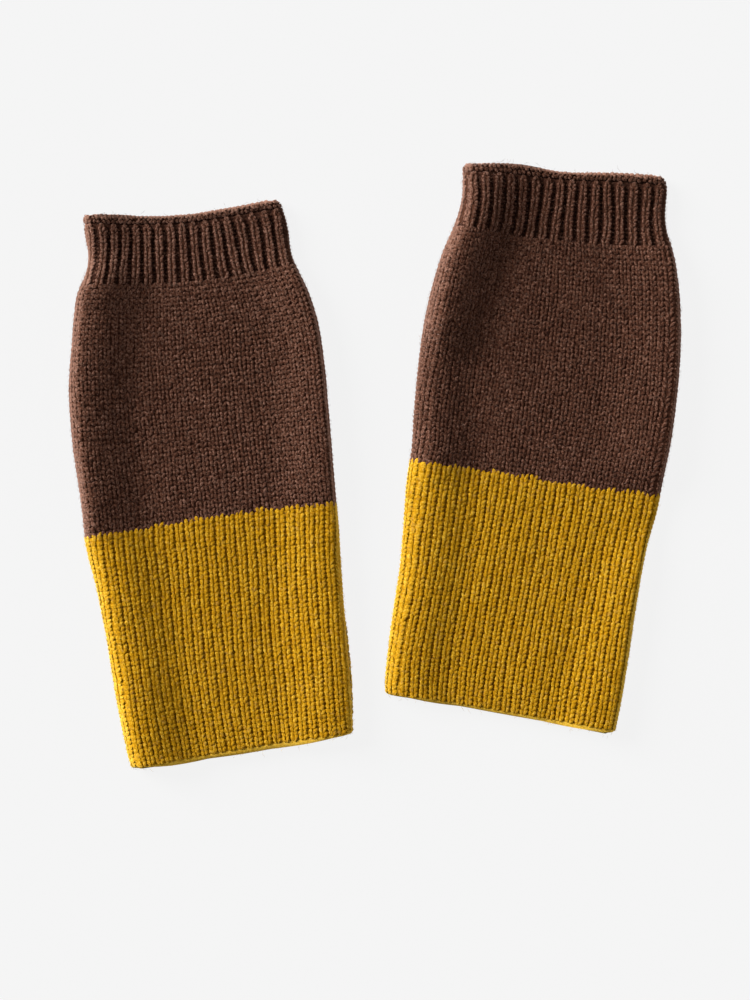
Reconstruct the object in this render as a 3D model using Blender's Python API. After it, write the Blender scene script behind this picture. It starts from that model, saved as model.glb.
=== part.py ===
"""A pair of knitted arm warmers that lie flat, side by side.

Each warmer is a tube of thick wool knit, pressed flat so that its front layer lies on its back layer. It is
knitted in one from the top: a rolled rim, a ribbed cuff, a plain body, a ribbed band in a second colour and a
smooth hem edge. Each of these is a ring of cloth with an open inside, and the next one starts a seam gap
further down.

Sizes are in millimetres and become metres when a mesh is made. On a warmer, "along" runs down its middle line
from the top, and "across" runs from its left side to its right side. The floor is at height 0.
"""
import math
from collections import namedtuple

import bmesh
import bpy
import numpy as np

MM = 0.001

# The cloth
WALL = 2.2                # one layer of knit
LAYER_GAP = 0.7           # air between the front layer and the back layer
FLAT_HEIGHT = 2 * WALL + LAYER_GAP
SIDE_HEIGHT = FLAT_HEIGHT / 2   # where the side of the flattened tube is widest
INNER_ROUND = 1.2         # how far in from a side the hollow inside rounds over
SEAM_GAP = 0.3
TOP_CORNER = 1.8          # radius of the corners seen from above
HEM_CORNER = 2.8

# Ribs are raised on the front and the sides; the underside lies flat.
CUFF_RIBS = 17.5          # over the front
CUFF_RIB_HEIGHT = 1.2
BAND_RIBS = 25.5
BAND_RIB_HEIGHT = 0.9
RIB_SINK = 0.55           # share of a rib's height that lies below the level of the plain knit
RIB_POINTS = (0.0, 0.25, 0.5, 0.75)   # the points that shape a rib, as shares of its width
RIB_ROUNDNESS = 0.6       # below 1, crowns are broad and valleys narrow
RIB_END_HEIGHT = 0.4      # share of its height that a rib keeps at its two ends

# Where the lines across a warmer are read, from its left side (0) to its right side (1)
LINE_STATIONS = (0.0, 0.25, 0.5, 0.75, 1.0)

# A warmer's lines give how far along each one lies at those five stations. A Side row gives the across values
# of both sides, and a row of "rounds" how far in from each side the front rounds over. A Fold is a soft ridge along
# one side from its first to its last along, at an inset from that side. A Drift row gives how far the ribs lie to
# the right of an even spacing, at six stations across the front, because they fan out in the cuff and lean in the
# band.
Side = namedtuple("Side", "along left right")
Fold = namedtuple("Fold", "side first last first_inset last_inset half_width rise")
Drift = namedtuple("Drift", "along shifts")

LEFT_WARMER = {
    "top": (-75.91, 103.04),
    "lean": 6.09,
    "lines": {
        "rim_end": (-2.2, 0.4, 1.9, 1.1, -0.2),
        "rim_foot": (1.8, 4.4, 5.9, 5.1, 3.8),
        "cuff_foot": (25.6, 27.8, 29.2, 28.4, 26.0),
        "colour_change": (127.2, 126.0, 124.4, 123.9, 124.6),
        "band_foot": (220.2, 218.7, 217.2, 216.0, 215.4),
        "hem_end": (221.4, 220.6, 220.0, 218.4, 217.0),
    },
    "sides": (
        Side(-2.4, -40.8, 37.4),
        Side(4.8, -41.1, 38.9),
        Side(14.4, -40.9, 40.3),
        Side(19.2, -41.8, 40.2),
        Side(24.0, -43.9, 40.8),
        Side(28.8, -46.5, 42.4),
        Side(38.4, -49.1, 45.7),
        Side(48.0, -50.9, 47.8),
        Side(67.2, -54.2, 49.0),
        Side(86.4, -55.0, 48.7),
        Side(115.2, -54.1, 48.0),
        Side(129.6, -54.0, 47.7),
        Side(144.0, -51.9, 47.1),
        Side(163.2, -49.9, 46.5),
        Side(192.0, -48.2, 46.3),
        Side(211.2, -46.5, 45.0),
        Side(221.4, -45.2, 44.0),
    ),
    "rounds": (Side(0.0, 4.0, 2.6), Side(60.0, 5.6, 2.6), Side(150.0, 6.4, 2.6), Side(222.0, 5.6, 2.6)),
    "folds": (
        Fold("left", -24.0, 40.0, 3.0, 8.0, 16.0, 3.0),
        Fold("left", 12.0, 134.0, 10.5, 2.5, 23.0, 6.2),
        Fold("left", 112.0, 244.0, 10.0, 8.0, 21.5, 3.1),
        Fold("left", 170.0, 244.0, 7.0, 6.0, 24.0, 1.3),
        Fold("right", 14.0, 134.0, -8.0, 2.0, 27.0, 4.1),
        Fold("right", 114.0, 244.0, 5.0, 9.5, 23.0, 2.6),
    ),
    "drift": {
        "cuff": (
            Drift(7.0, (1.4, 0.6, 0.0, -0.4, -0.7, -0.3)),
            Drift(13.6, (0.6, -0.5, -0.9, -1.1, -0.8, -0.9)),
            Drift(20.0, (0.5, -0.4, -0.8, -0.5, -0.2, -0.3)),
            Drift(26.4, (1.3, 0.7, 0.2, 0.3, 0.3, -0.8)),
        ),
        "band": (
            Drift(124.0, (0.3, 0.6, 0.2, 0.2, 0.1, -0.2)),
            Drift(143.0, (-1.3, -1.2, -1.1, -0.9, -1.3, -1.4)),
            Drift(162.0, (-2.4, -2.8, -2.6, -2.2, -2.3, -2.0)),
            Drift(182.0, (-2.5, -3.1, -3.7, -3.3, -3.2, -2.8)),
            Drift(200.0, (-2.7, -3.3, -3.7, -3.3, -3.3, -2.9)),
            Drift(216.0, (-2.9, -2.9, -3.0, -2.9, -2.9, -2.2)),
        ),
    },
}
RIGHT_WARMER = {
    "top": (76.89, 117.44),
    "lean": -6.71,
    "lines": {
        "rim_end": (0.9, -1.4, -0.5, -2.4, -3.4),
        "rim_foot": (4.8, 3.5, 3.1, 1.4, 0.4),
        "cuff_foot": (26.0, 27.2, 27.2, 26.2, 24.0),
        "colour_change": (122.2, 122.7, 123.6, 124.5, 125.0),
        "band_foot": (215.3, 215.5, 216.7, 218.0, 219.5),
        "hem_end": (216.5, 217.2, 218.7, 220.0, 221.7),
    },
    "sides": (
        Side(-4.8, -41.0, 40.5),
        Side(4.8, -41.3, 40.8),
        Side(14.4, -40.5, 41.5),
        Side(19.2, -40.8, 42.9),
        Side(24.0, -41.8, 45.1),
        Side(28.8, -43.3, 46.9),
        Side(38.4, -46.1, 49.6),
        Side(48.0, -47.9, 51.5),
        Side(67.2, -50.0, 53.8),
        Side(86.4, -50.2, 54.4),
        Side(105.6, -49.6, 53.9),
        Side(115.2, -49.0, 53.0),
        Side(129.6, -49.2, 51.8),
        Side(144.0, -48.7, 49.5),
        Side(163.2, -48.0, 48.1),
        Side(192.0, -48.7, 47.1),
        Side(211.2, -48.4, 46.1),
        Side(221.6, -47.2, 45.2),
    ),
    "rounds": (Side(0.0, 3.6, 3.0), Side(30.0, 6.0, 2.6), Side(222.0, 6.4, 2.6)),
    "folds": (
        Fold("left", -6.0, 134.0, 6.5, 9.5, 16.5, 2.7),
        Fold("left", -12.0, 84.0, 10.5, 7.5, 24.0, 4.6),
        Fold("left", 100.0, 244.0, 12.0, 10.0, 18.5, 1.9),
        Fold("right", 10.0, 130.0, -6.0, -1.0, 36.0, 3.9),
        Fold("right", 134.0, 244.0, -2.0, 10.0, 22.0, 2.1),
    ),
    "drift": {
        "cuff": (
            Drift(7.0, (-2.0, -1.1, -0.6, -0.7, -1.0, -0.1)),
            Drift(13.6, (-1.7, -1.4, -1.2, -1.1, -0.6, -0.4)),
            Drift(20.0, (-1.4, -1.6, -2.1, -1.8, -1.4, -1.0)),
            Drift(26.4, (-0.8, -1.9, -2.5, -2.4, -3.1, -1.8)),
        ),
        "band": (
            Drift(124.0, (1.4, 1.0, 0.3, -0.6, -1.3, -1.5)),
            Drift(143.0, (0.8, 0.8, 0.3, -0.2, -0.7, -0.8)),
            Drift(162.0, (0.0, -0.3, -0.6, -0.6, -1.1, -0.9)),
            Drift(182.0, (-0.6, -0.8, -1.2, -1.1, -1.6, -1.2)),
            Drift(200.0, (-1.1, -1.2, -1.5, -1.5, -2.0, -1.1)),
            Drift(216.0, (-1.2, -0.9, -1.4, -1.6, -2.1, -1.2)),
        ),
    },
}
FOLD_FADE = 22.0          # length over which a fold starts and ends

# A piece lies between two of the lines, and its cloth is shaped at a few steps from the upper line (0) to the
# lower one (1). A profile's rows say how far the cloth swells beyond the plain knit at each step.
Piece = namedtuple("Piece", "name upper lower steps colour")
Ribs = namedtuple("Ribs", "count height")
Swell = namedtuple("Swell", "step outward")
CUFF_STEPS = (0.0, 0.08, 0.25, 0.42, 0.6, 0.78, 0.92, 1.0)
BODY_STEPS = tuple(row / 13 for row in range(14))
BAND_STEPS = (0.0, 0.03, 0.18, 0.34, 0.5, 0.66, 0.82, 0.97, 1.0)
PIECES = (
    Piece("rim", "rim_end", "rim_foot", (0.0, 0.1, 0.35, 0.65, 0.9, 1.0), "brown"),
    Piece("cuff", "rim_foot", "cuff_foot", CUFF_STEPS, "brown"),
    Piece("body", "cuff_foot", "colour_change", BODY_STEPS, "brown"),
    Piece("band", "colour_change", "band_foot", BAND_STEPS, "mustard"),
    Piece("hem", "band_foot", "hem_end", (0.0, 0.35, 0.75, 1.0), "mustard"),
)
RIBS = {"cuff": Ribs(CUFF_RIBS, CUFF_RIB_HEIGHT), "band": Ribs(BAND_RIBS, BAND_RIB_HEIGHT)}
PROFILES = {
    "rim": (
        Swell(0.0, -1.1),
        Swell(0.1, -0.2),
        Swell(0.35, 0.5),
        Swell(0.65, 0.5),
        Swell(0.9, 0.1),
        Swell(1.0, -0.3),
    ),
    "hem": (Swell(0.0, -0.3), Swell(0.35, -0.1), Swell(0.75, -0.4), Swell(1.0, -1.2)),
}
PLAIN_FRONT_PLACES = 28   # points across the front of a piece that has no ribs
UNDERSIDE_PLACES = 12
INNER_PLACES = 16         # on each layer of the hollow inside
SIDE_CROWDING = 0.11      # how strongly the points of a plain layer gather towards its sides

COLOURS = {"brown": (0.063, 0.030, 0.018, 1.0), "mustard": (0.342, 0.165, 0.009, 1.0)}
WOOL_ROUGHNESS = 0.92
SHARP_ANGLE = 55.0        # degrees; edges that turn further than this are not shaded smooth


def clear_scene():
    for old in list(bpy.data.objects):
        bpy.data.objects.remove(old)


def smooth_read(at, places, values):
    """Read a smooth curve through the given values: a cubic between each two places, with matching slopes."""
    places = np.asarray(places, float)
    values = np.asarray(values, float)
    slopes = np.gradient(values, places)
    first = np.clip(np.searchsorted(places, at, side="right") - 1, 0, len(places) - 2)
    span = places[first + 1] - places[first]
    t = np.clip((at - places[first]) / span, 0.0, 1.0)
    start = (2 * t**3 - 3 * t**2 + 1) * values[first] + (t**3 - 2 * t**2 + t) * span * slopes[first]
    end = (3 * t**2 - 2 * t**3) * values[first + 1] + (t**3 - t**2) * span * slopes[first + 1]
    return start + end


def ease(t):
    """Rise from 0 to 1 with soft ends."""
    t = np.clip(t, 0.0, 1.0)
    return t * t * (3.0 - 2.0 * t)


def share_across(places):
    """How far across a place lies, from 0 at the left side to 1 at the right side, on either layer."""
    places = np.mod(places, 2.0)
    return np.where(places <= 1.0, places, 2.0 - places)


def line_along(warmer, name, across_share):
    return smooth_read(across_share, LINE_STATIONS, warmer["lines"][name])


def corner_inset(distance, radius):
    """How far a rounded corner draws a side in, at a distance from the end of the warmer."""
    short = np.clip(radius - distance, 0.0, radius)
    return radius - np.sqrt(radius**2 - short**2)


def sides(warmer, along, across_share):
    """Left and right side of a warmer, drawn in at its rounded corners."""
    rows = Side(*np.array(warmer["sides"]).T)
    drawn_in = corner_inset(along - line_along(warmer, "rim_end", across_share), TOP_CORNER)
    drawn_in += corner_inset(line_along(warmer, "hem_end", across_share) - along, HEM_CORNER)
    left = smooth_read(along, rows.along, rows.left) + drawn_in
    right = smooth_read(along, rows.along, rows.right) - drawn_in
    return left, right


def drifted(warmer, name, along, places):
    """Evenly spaced places moved round the tube to where the ribs of a ribbed piece lie."""
    rows = Drift(*zip(*warmer["drift"][name]))
    stations = np.array(rows.shifts).T
    position = np.clip(share_across(places) * len(stations) - 0.5, 0, len(stations) - 1)
    shift = np.zeros(len(places))
    for station, shifts in enumerate(stations):
        nearness = ease(1.0 - np.abs(position - station))
        shift += nearness * smooth_read(along, rows.along, shifts)
    left, right = sides(warmer, along, share_across(places))
    return places + shift / (right - left)


def front_height(warmer, along, from_left, from_right):
    """Height of the front layer's outside: flat, with each fold's soft ridge added."""
    height = np.full(np.shape(along), FLAT_HEIGHT)
    for fold in warmer["folds"]:
        progress = np.clip((along - fold.first) / (fold.last - fold.first), 0.0, 1.0)
        inset = fold.first_inset + (fold.last_inset - fold.first_inset) * progress
        distance = (from_left if fold.side == "left" else from_right) - inset
        bump = 0.5 + 0.5 * np.cos(np.pi * np.clip(distance / fold.half_width, -1.0, 1.0))
        fade = ease((along - fold.first) / FOLD_FADE) * ease((fold.last - along) / FOLD_FADE)
        height += fold.rise * bump * fade
    return height


def side_rounding(warmer, along, depth):
    """How far in from the left and from the right side a layer rounds over, outside or (with a depth) inside."""
    if depth > 0.0:
        return INNER_ROUND, INNER_ROUND
    rows = Side(*np.array(warmer["rounds"]).T)
    return smooth_read(along, rows.along, rows.left), smooth_read(along, rows.along, rows.right)


def ring(warmer, along, places, swell, depth):
    """One ring of a flattened tube, as across, along and height columns.

    A place runs from 0 to 1 over the front from left to right, and from 1 to 2 back along the underside. Near
    a side the cloth follows a quarter of an ellipse, and its places are spaced evenly on the cloth. depth is
    0 on the outside and the wall's thickness on the inside. swell moves the front out along its own normal.
    """
    share = share_across(places)
    on_front = np.mod(places, 2.0) <= 1.0
    left, right = sides(warmer, along, share)
    left_round, right_round = side_rounding(warmer, along, depth)
    left_wall = left + depth
    right_wall = right - depth
    left_quarter = math.pi / 4 * (left_round + SIDE_HEIGHT - depth)
    right_quarter = math.pi / 4 * (right_round + SIDE_HEIGHT - depth)
    cloth = right_wall - left_wall - left_round - right_round + left_quarter + right_quarter
    rounding = np.where(share < 0.5, left_round, right_round)
    quarter = np.where(share < 0.5, left_quarter, right_quarter)
    nearest = np.minimum(share, 1.0 - share) * cloth
    turn = np.minimum(nearest / quarter, 1.0) * math.pi / 2
    inset = rounding * (1.0 - np.cos(turn)) + np.maximum(nearest - quarter, 0.0)
    inset -= swell * np.cos(turn)
    across = np.where(share < 0.5, left_wall + inset, right_wall - inset)
    top = front_height(warmer, along, across - left, right - across) - depth
    front = SIDE_HEIGHT + (top - SIDE_HEIGHT + swell) * np.sin(turn)
    underside = SIDE_HEIGHT - (SIDE_HEIGHT - depth) * np.sin(turn)
    return np.column_stack((across, along, np.where(on_front, front, underside)))


def side_spaced(count):
    """Shares from 0 up to 1, closer together near the sides, without the last."""
    even = np.arange(count) / count
    return even - SIDE_CROWDING * np.sin(2 * math.pi * even)


def ribbed_places(count):
    """The places of a ribbed piece, with count ribs over the front.

    Each rib of the front, and one more round each side, has the valley before it, its two shoulders and its
    crown. The rest of the underside is evenly spaced.
    """
    starts = np.arange(-1, math.ceil(count) + 1)[:, None]
    ribs = ((starts + np.array(RIB_POINTS)) / count).ravel()
    first = (math.ceil(count) + 1) / count
    underside = np.linspace(first, ribs[0] + 2.0, UNDERSIDE_PLACES, endpoint=False)
    return np.concatenate((ribs, underside))


def outer_places(name):
    if name in RIBS:
        return ribbed_places(RIBS[name].count)
    return np.concatenate((side_spaced(PLAIN_FRONT_PLACES), 1.0 + side_spaced(UNDERSIDE_PLACES)))


def inner_places():
    layer = side_spaced(INNER_PLACES)
    return np.concatenate((layer, 1.0 + layer))


def swell_at(name, step, places):
    """How far the outside stands beyond the plain knit: ribs on cuff and band, a profile on rim and hem."""
    if name in PROFILES:
        profile = Swell(*np.array(PROFILES[name]).T)
        return np.full(len(places), np.interp(step, profile.step, profile.outward))
    if name not in RIBS:
        return np.zeros(len(places))
    ribs = RIBS[name]
    crown = np.abs(np.sin(np.pi * places * ribs.count)) ** RIB_ROUNDNESS
    kept = RIB_END_HEIGHT if step in (0.0, 1.0) else 1.0
    return kept * ribs.height * (crown - RIB_SINK)


def piece_along(warmer, piece, step, places):
    """How far along a step of a piece lies, half a seam gap clear of the neighbouring pieces."""
    share = share_across(places)
    top_gap = 0.0 if piece.upper == "rim_end" else SEAM_GAP / 2
    foot_gap = 0.0 if piece.lower == "hem_end" else SEAM_GAP / 2
    start = line_along(warmer, piece.upper, share) + top_gap
    end = line_along(warmer, piece.lower, share) - foot_gap
    return start + (end - start) * step


def piece_rings(warmer, piece, inside):
    """All rings of a piece from its upper line to its lower one, and the places of the points of each."""
    even = inner_places() if inside else outer_places(piece.name)
    ring_places = []
    rings = []
    for step in piece.steps:
        places = even
        if piece.name in RIBS and not inside:
            places = drifted(warmer, piece.name, piece_along(warmer, piece, step, even), even)
        swell = np.zeros(len(even)) if inside else swell_at(piece.name, step, even)
        along = piece_along(warmer, piece, step, places)
        ring_places.append(places)
        rings.append(ring(warmer, along, places, swell, WALL if inside else 0.0))
    return ring_places, rings


def ring_faces(first, second):
    """Faces between two rings with the same number of points."""
    count = len(first)
    return [(first[i], first[(i + 1) % count], second[(i + 1) % count], second[i]) for i in range(count)]


def end_faces(outer, outer_at, inner, inner_at):
    """Triangles that close a tube's end between its outer and its inner ring.

    Each triangle steps on along the ring whose next place comes first. The inner ring is entered at its point
    nearest the first outer one.
    """
    offsets = np.mod(inner_at - outer_at[0] + 1.0, 2.0) - 1.0
    start = int(np.argmin(np.abs(offsets)))
    inner = np.roll(inner, -start)
    ahead = np.mod(np.roll(inner_at, -start) - inner_at[start], 2.0)
    inner_at = outer_at[0] + offsets[start] + ahead
    outer_at = list(outer_at) + [outer_at[0] + 2.0]
    inner_at = list(inner_at) + [inner_at[0] + 2.0]
    faces = []
    i = 0
    j = 0
    while i < len(outer) or j < len(inner):
        a = outer[i % len(outer)]
        b = inner[j % len(inner)]
        outer_is_next = j == len(inner) or (i < len(outer) and outer_at[i + 1] <= inner_at[j + 1])
        if outer_is_next:
            i += 1
            faces.append((a, outer[i % len(outer)], b))
        else:
            j += 1
            faces.append((a, inner[j % len(inner)], b))
    return faces


def to_world(warmer, points):
    """Turn across, along and height into the pair's own frame, in metres."""
    lean = math.radians(warmer["lean"])
    across, along, height = points.T
    x = warmer["top"][0] + across * math.cos(lean) + along * math.sin(lean)
    y = warmer["top"][1] + across * math.sin(lean) - along * math.cos(lean)
    return np.column_stack((x, y, height)) * MM


def knit_material(name, colour):
    material = bpy.data.materials.new(name)
    material.use_nodes = True
    shader = material.node_tree.nodes["Principled BSDF"]
    shader.inputs["Base Color"].default_value = COLOURS[colour]
    shader.inputs["Roughness"].default_value = WOOL_ROUGHNESS
    shader.inputs["Metallic"].default_value = 0.0
    material.diffuse_color = COLOURS[colour]
    return material


def make_piece(warmer, side, piece):
    outer_at, outer_rings = piece_rings(warmer, piece, inside=False)
    inner_at, inner_rings = piece_rings(warmer, piece, inside=True)
    points = np.vstack(outer_rings + inner_rings)
    rows = len(piece.steps)
    outer = np.arange(rows * len(outer_at[0])).reshape(rows, -1)
    inner = np.arange(rows * len(inner_at[0])).reshape(rows, -1) + outer.size
    faces = []
    for row in range(rows - 1):
        faces += ring_faces(outer[row], outer[row + 1])
        faces += ring_faces(inner[row + 1], inner[row])
    for row in (0, rows - 1):
        faces += end_faces(outer[row], outer_at[row], inner[row], inner_at[row])

    name = f"{side}_{piece.name}"
    mesh = bpy.data.meshes.new(name)
    mesh.from_pydata(to_world(warmer, points).tolist(), [], [tuple(map(int, face)) for face in faces])
    shape = bmesh.new()
    shape.from_mesh(mesh)
    bmesh.ops.recalc_face_normals(shape, faces=shape.faces)
    shape.to_mesh(mesh)
    shape.free()
    mesh.materials.append(knit_material(f"{name}_{piece.colour}_wool", piece.colour))
    mesh.shade_smooth()
    mesh.set_sharp_from_angle(angle=math.radians(SHARP_ANGLE))
    bpy.context.scene.collection.objects.link(bpy.data.objects.new(name, mesh))


def make_pair():
    for side, warmer in (("left", LEFT_WARMER), ("right", RIGHT_WARMER)):
        for piece in PIECES:
            make_piece(warmer, side, piece)


clear_scene()
make_pair()
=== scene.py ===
"""Looks of a pair of knitted arm warmers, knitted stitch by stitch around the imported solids.

Sizes inside the functions are in millimetres and become metres when a mesh is made. On a warmer, "along" runs
down its middle line from the top, and "across" from its left side to its right side. A "place" runs round
the flattened tube: from 0 at the left side to 1 at the right side over the front, and on to 2 along the
underside.
"""
import math
from collections import namedtuple

import bpy
import numpy as np
from bpy.props import FloatProperty, FloatVectorProperty, IntProperty, PointerProperty
from bpy.types import Operator, Panel, PropertyGroup
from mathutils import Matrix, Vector


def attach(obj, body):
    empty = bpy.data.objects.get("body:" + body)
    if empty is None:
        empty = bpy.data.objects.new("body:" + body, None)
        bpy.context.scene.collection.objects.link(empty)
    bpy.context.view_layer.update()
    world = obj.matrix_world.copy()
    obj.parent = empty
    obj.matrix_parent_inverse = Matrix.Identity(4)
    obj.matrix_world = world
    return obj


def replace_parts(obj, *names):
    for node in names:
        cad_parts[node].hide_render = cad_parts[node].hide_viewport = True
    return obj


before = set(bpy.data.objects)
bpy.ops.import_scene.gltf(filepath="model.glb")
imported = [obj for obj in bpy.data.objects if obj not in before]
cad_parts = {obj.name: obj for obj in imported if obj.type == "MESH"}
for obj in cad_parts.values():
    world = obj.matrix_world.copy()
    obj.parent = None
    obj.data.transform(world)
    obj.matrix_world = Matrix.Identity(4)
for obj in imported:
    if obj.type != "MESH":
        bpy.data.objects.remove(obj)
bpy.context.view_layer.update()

bl_info = {
    "name": "Knitted arm warmers",
    "version": (1, 0, 0),
    "blender": (4, 5, 0),
    "location": "3D View > Sidebar > Arm warmers",
    "description": "Knits a pair of two-colour arm warmers from single stitches, with their fuzz",
    "category": "Add Mesh",
}

MM = 0.001

# ---- The shape of the two flattened tubes ----

WALL = 2.2                # one layer of knit
LAYER_GAP = 0.7           # air between the front layer and the back layer
FLAT_HEIGHT = 2 * WALL + LAYER_GAP
SIDE_HEIGHT = FLAT_HEIGHT / 2
INNER_ROUND = 1.2         # how far in from a side the hollow inside rounds over
HEM_CORNER = 2.8
FOLD_FADE = 22.0          # length over which a long fold starts and ends
LINE_STATIONS = (0.0, 0.25, 0.5, 0.75, 1.0)

# A warmer's lines give how far along each one lies at the five stations from its left to its right side. A
# Side row gives the across values of both sides, and a row of "rounds" how far in from each side the front
# rounds over. A Fold runs along one side from its first to its last along, at an inset from that side, and a
# trough's rise is negative. A Dent is a short soft hollow or hump of its own. A Drift row gives how far the
# columns lie to the right of an even spacing, at six stations across the front. The top corners are the radii
# to which the rim is rounded, and the tones say how pale the stitches of each stretch are. The tones hold
# painted light and shade: the rim is painted paler where light catches its top, the hem paler against the
# shade where it curves down, and the right warmer's stretches darker than the left's, as painted shade.
Side = namedtuple("Side", "along left right")
Fold = namedtuple("Fold", "side first last first_inset last_inset half_width rise")
Dent = namedtuple("Dent", "along across length width turn rise")
Drift = namedtuple("Drift", "along shifts")

LEFT_WARMER = {
    "name": "left",
    "seed": 11,
    "top": (-75.91, 103.04),
    "lean": 6.09,
    "top_corners": (3.2, 4.0),
    # Painted light on the rim and the hem; the right warmer's lower tones are painted shade.
    "tones": {"rim": 4.5, "cuff": 3.2, "body": 0.4, "band": 0.0, "hem": 6.5},
    "lines": {
        "rim_end": (-2.2, 0.4, 1.9, 1.1, -0.2),
        "rim_foot": (1.8, 4.4, 5.9, 5.1, 3.8),
        "cuff_foot": (25.6, 27.8, 29.2, 28.4, 26.0),
        "colour_change": (127.2, 126.0, 124.4, 123.9, 124.6),
        "band_foot": (220.2, 218.7, 217.2, 216.0, 215.4),
        "hem_end": (221.4, 220.6, 220.0, 218.4, 217.0),
    },
    "sides": (
        Side(-2.4, -40.8, 37.4),
        Side(4.8, -41.1, 38.9),
        Side(14.4, -40.9, 40.3),
        Side(19.2, -41.8, 40.2),
        Side(24.0, -43.9, 40.8),
        Side(28.8, -46.5, 42.4),
        Side(38.4, -49.1, 45.7),
        Side(48.0, -50.9, 47.8),
        Side(67.2, -54.2, 49.0),
        Side(86.4, -55.0, 48.7),
        Side(115.2, -54.1, 48.0),
        Side(129.6, -54.0, 47.7),
        Side(144.0, -51.9, 47.1),
        Side(163.2, -49.9, 46.5),
        Side(192.0, -48.2, 46.3),
        Side(211.2, -46.5, 45.0),
        Side(221.4, -45.2, 44.0),
    ),
    "rounds": (Side(0.0, 4.0, 2.6), Side(60.0, 5.6, 2.6), Side(150.0, 6.4, 2.6), Side(222.0, 5.6, 2.6)),
    "folds": (
        Fold("left", -24.0, 40.0, 3.0, 8.0, 16.0, 3.0),
        Fold("left", 12.0, 134.0, 10.5, 2.5, 23.0, 6.2),
        Fold("left", 112.0, 244.0, 10.0, 8.0, 21.5, 3.1),
        Fold("left", 170.0, 244.0, 7.0, 6.0, 24.0, 1.3),
        Fold("right", 14.0, 134.0, -8.0, 2.0, 27.0, 4.1),
        Fold("right", 114.0, 244.0, 5.0, 9.5, 23.0, 2.6),
    ),
    "dents": (
        Dent(34.0, -29.0, 26.0, 9.0, 8.0, -0.35),
        Dent(52.0, 6.0, 30.0, 13.0, -14.0, 0.25),
        Dent(70.0, 24.0, 22.0, 9.0, 20.0, -0.25),
        Dent(92.0, -8.0, 34.0, 12.0, 10.0, -0.2),
        Dent(108.0, 18.0, 24.0, 10.0, -25.0, 0.2),
        Dent(142.0, -6.0, 30.0, 11.0, 6.0, 0.2),
        Dent(168.0, 16.0, 36.0, 9.0, -5.0, -0.25),
        Dent(192.0, -12.0, 30.0, 12.0, 9.0, 0.2),
    ),
    "drift": {
        "cuff": (
            Drift(7.0, (1.4, 0.6, 0.0, -0.4, -0.7, 0.4)),
            Drift(13.6, (0.6, -0.5, -0.9, -1.1, -0.8, -0.2)),
            Drift(20.0, (0.5, -0.4, -0.8, -0.5, -0.2, 0.3)),
            Drift(26.4, (1.3, 0.7, 0.2, 0.3, 0.3, -0.2)),
        ),
        "body": (
            Drift(26.4, (1.3, 0.7, 0.2, 0.3, 0.3, -0.8)),
            Drift(53.0, (-0.6, 0.0, -0.5, -0.2, 0.8, -1.3)),
            Drift(69.0, (0.0, 0.5, 0.2, 0.4, 0.8, -1.0)),
            Drift(85.0, (-0.1, 0.3, 0.2, 0.4, 1.1, -0.7)),
            Drift(101.0, (-0.5, 0.0, 0.1, 0.4, 1.4, -0.6)),
            Drift(124.0, (-1.3, -0.2, -0.3, 0.4, 1.4, -0.6)),
        ),
        "band": (
            Drift(124.0, (0.3, 0.6, 0.2, 0.2, 0.1, -0.2)),
            Drift(143.0, (-1.3, -1.2, -1.1, -0.9, -1.3, -1.4)),
            Drift(162.0, (-2.4, -2.8, -2.6, -2.2, -2.3, -2.0)),
            Drift(182.0, (-2.5, -3.1, -3.7, -3.3, -3.2, -2.8)),
            Drift(200.0, (-2.7, -3.3, -3.7, -3.3, -3.3, -2.9)),
            Drift(216.0, (-2.9, -2.9, -3.0, -2.9, -2.9, -2.2)),
        ),
    },
}
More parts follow.
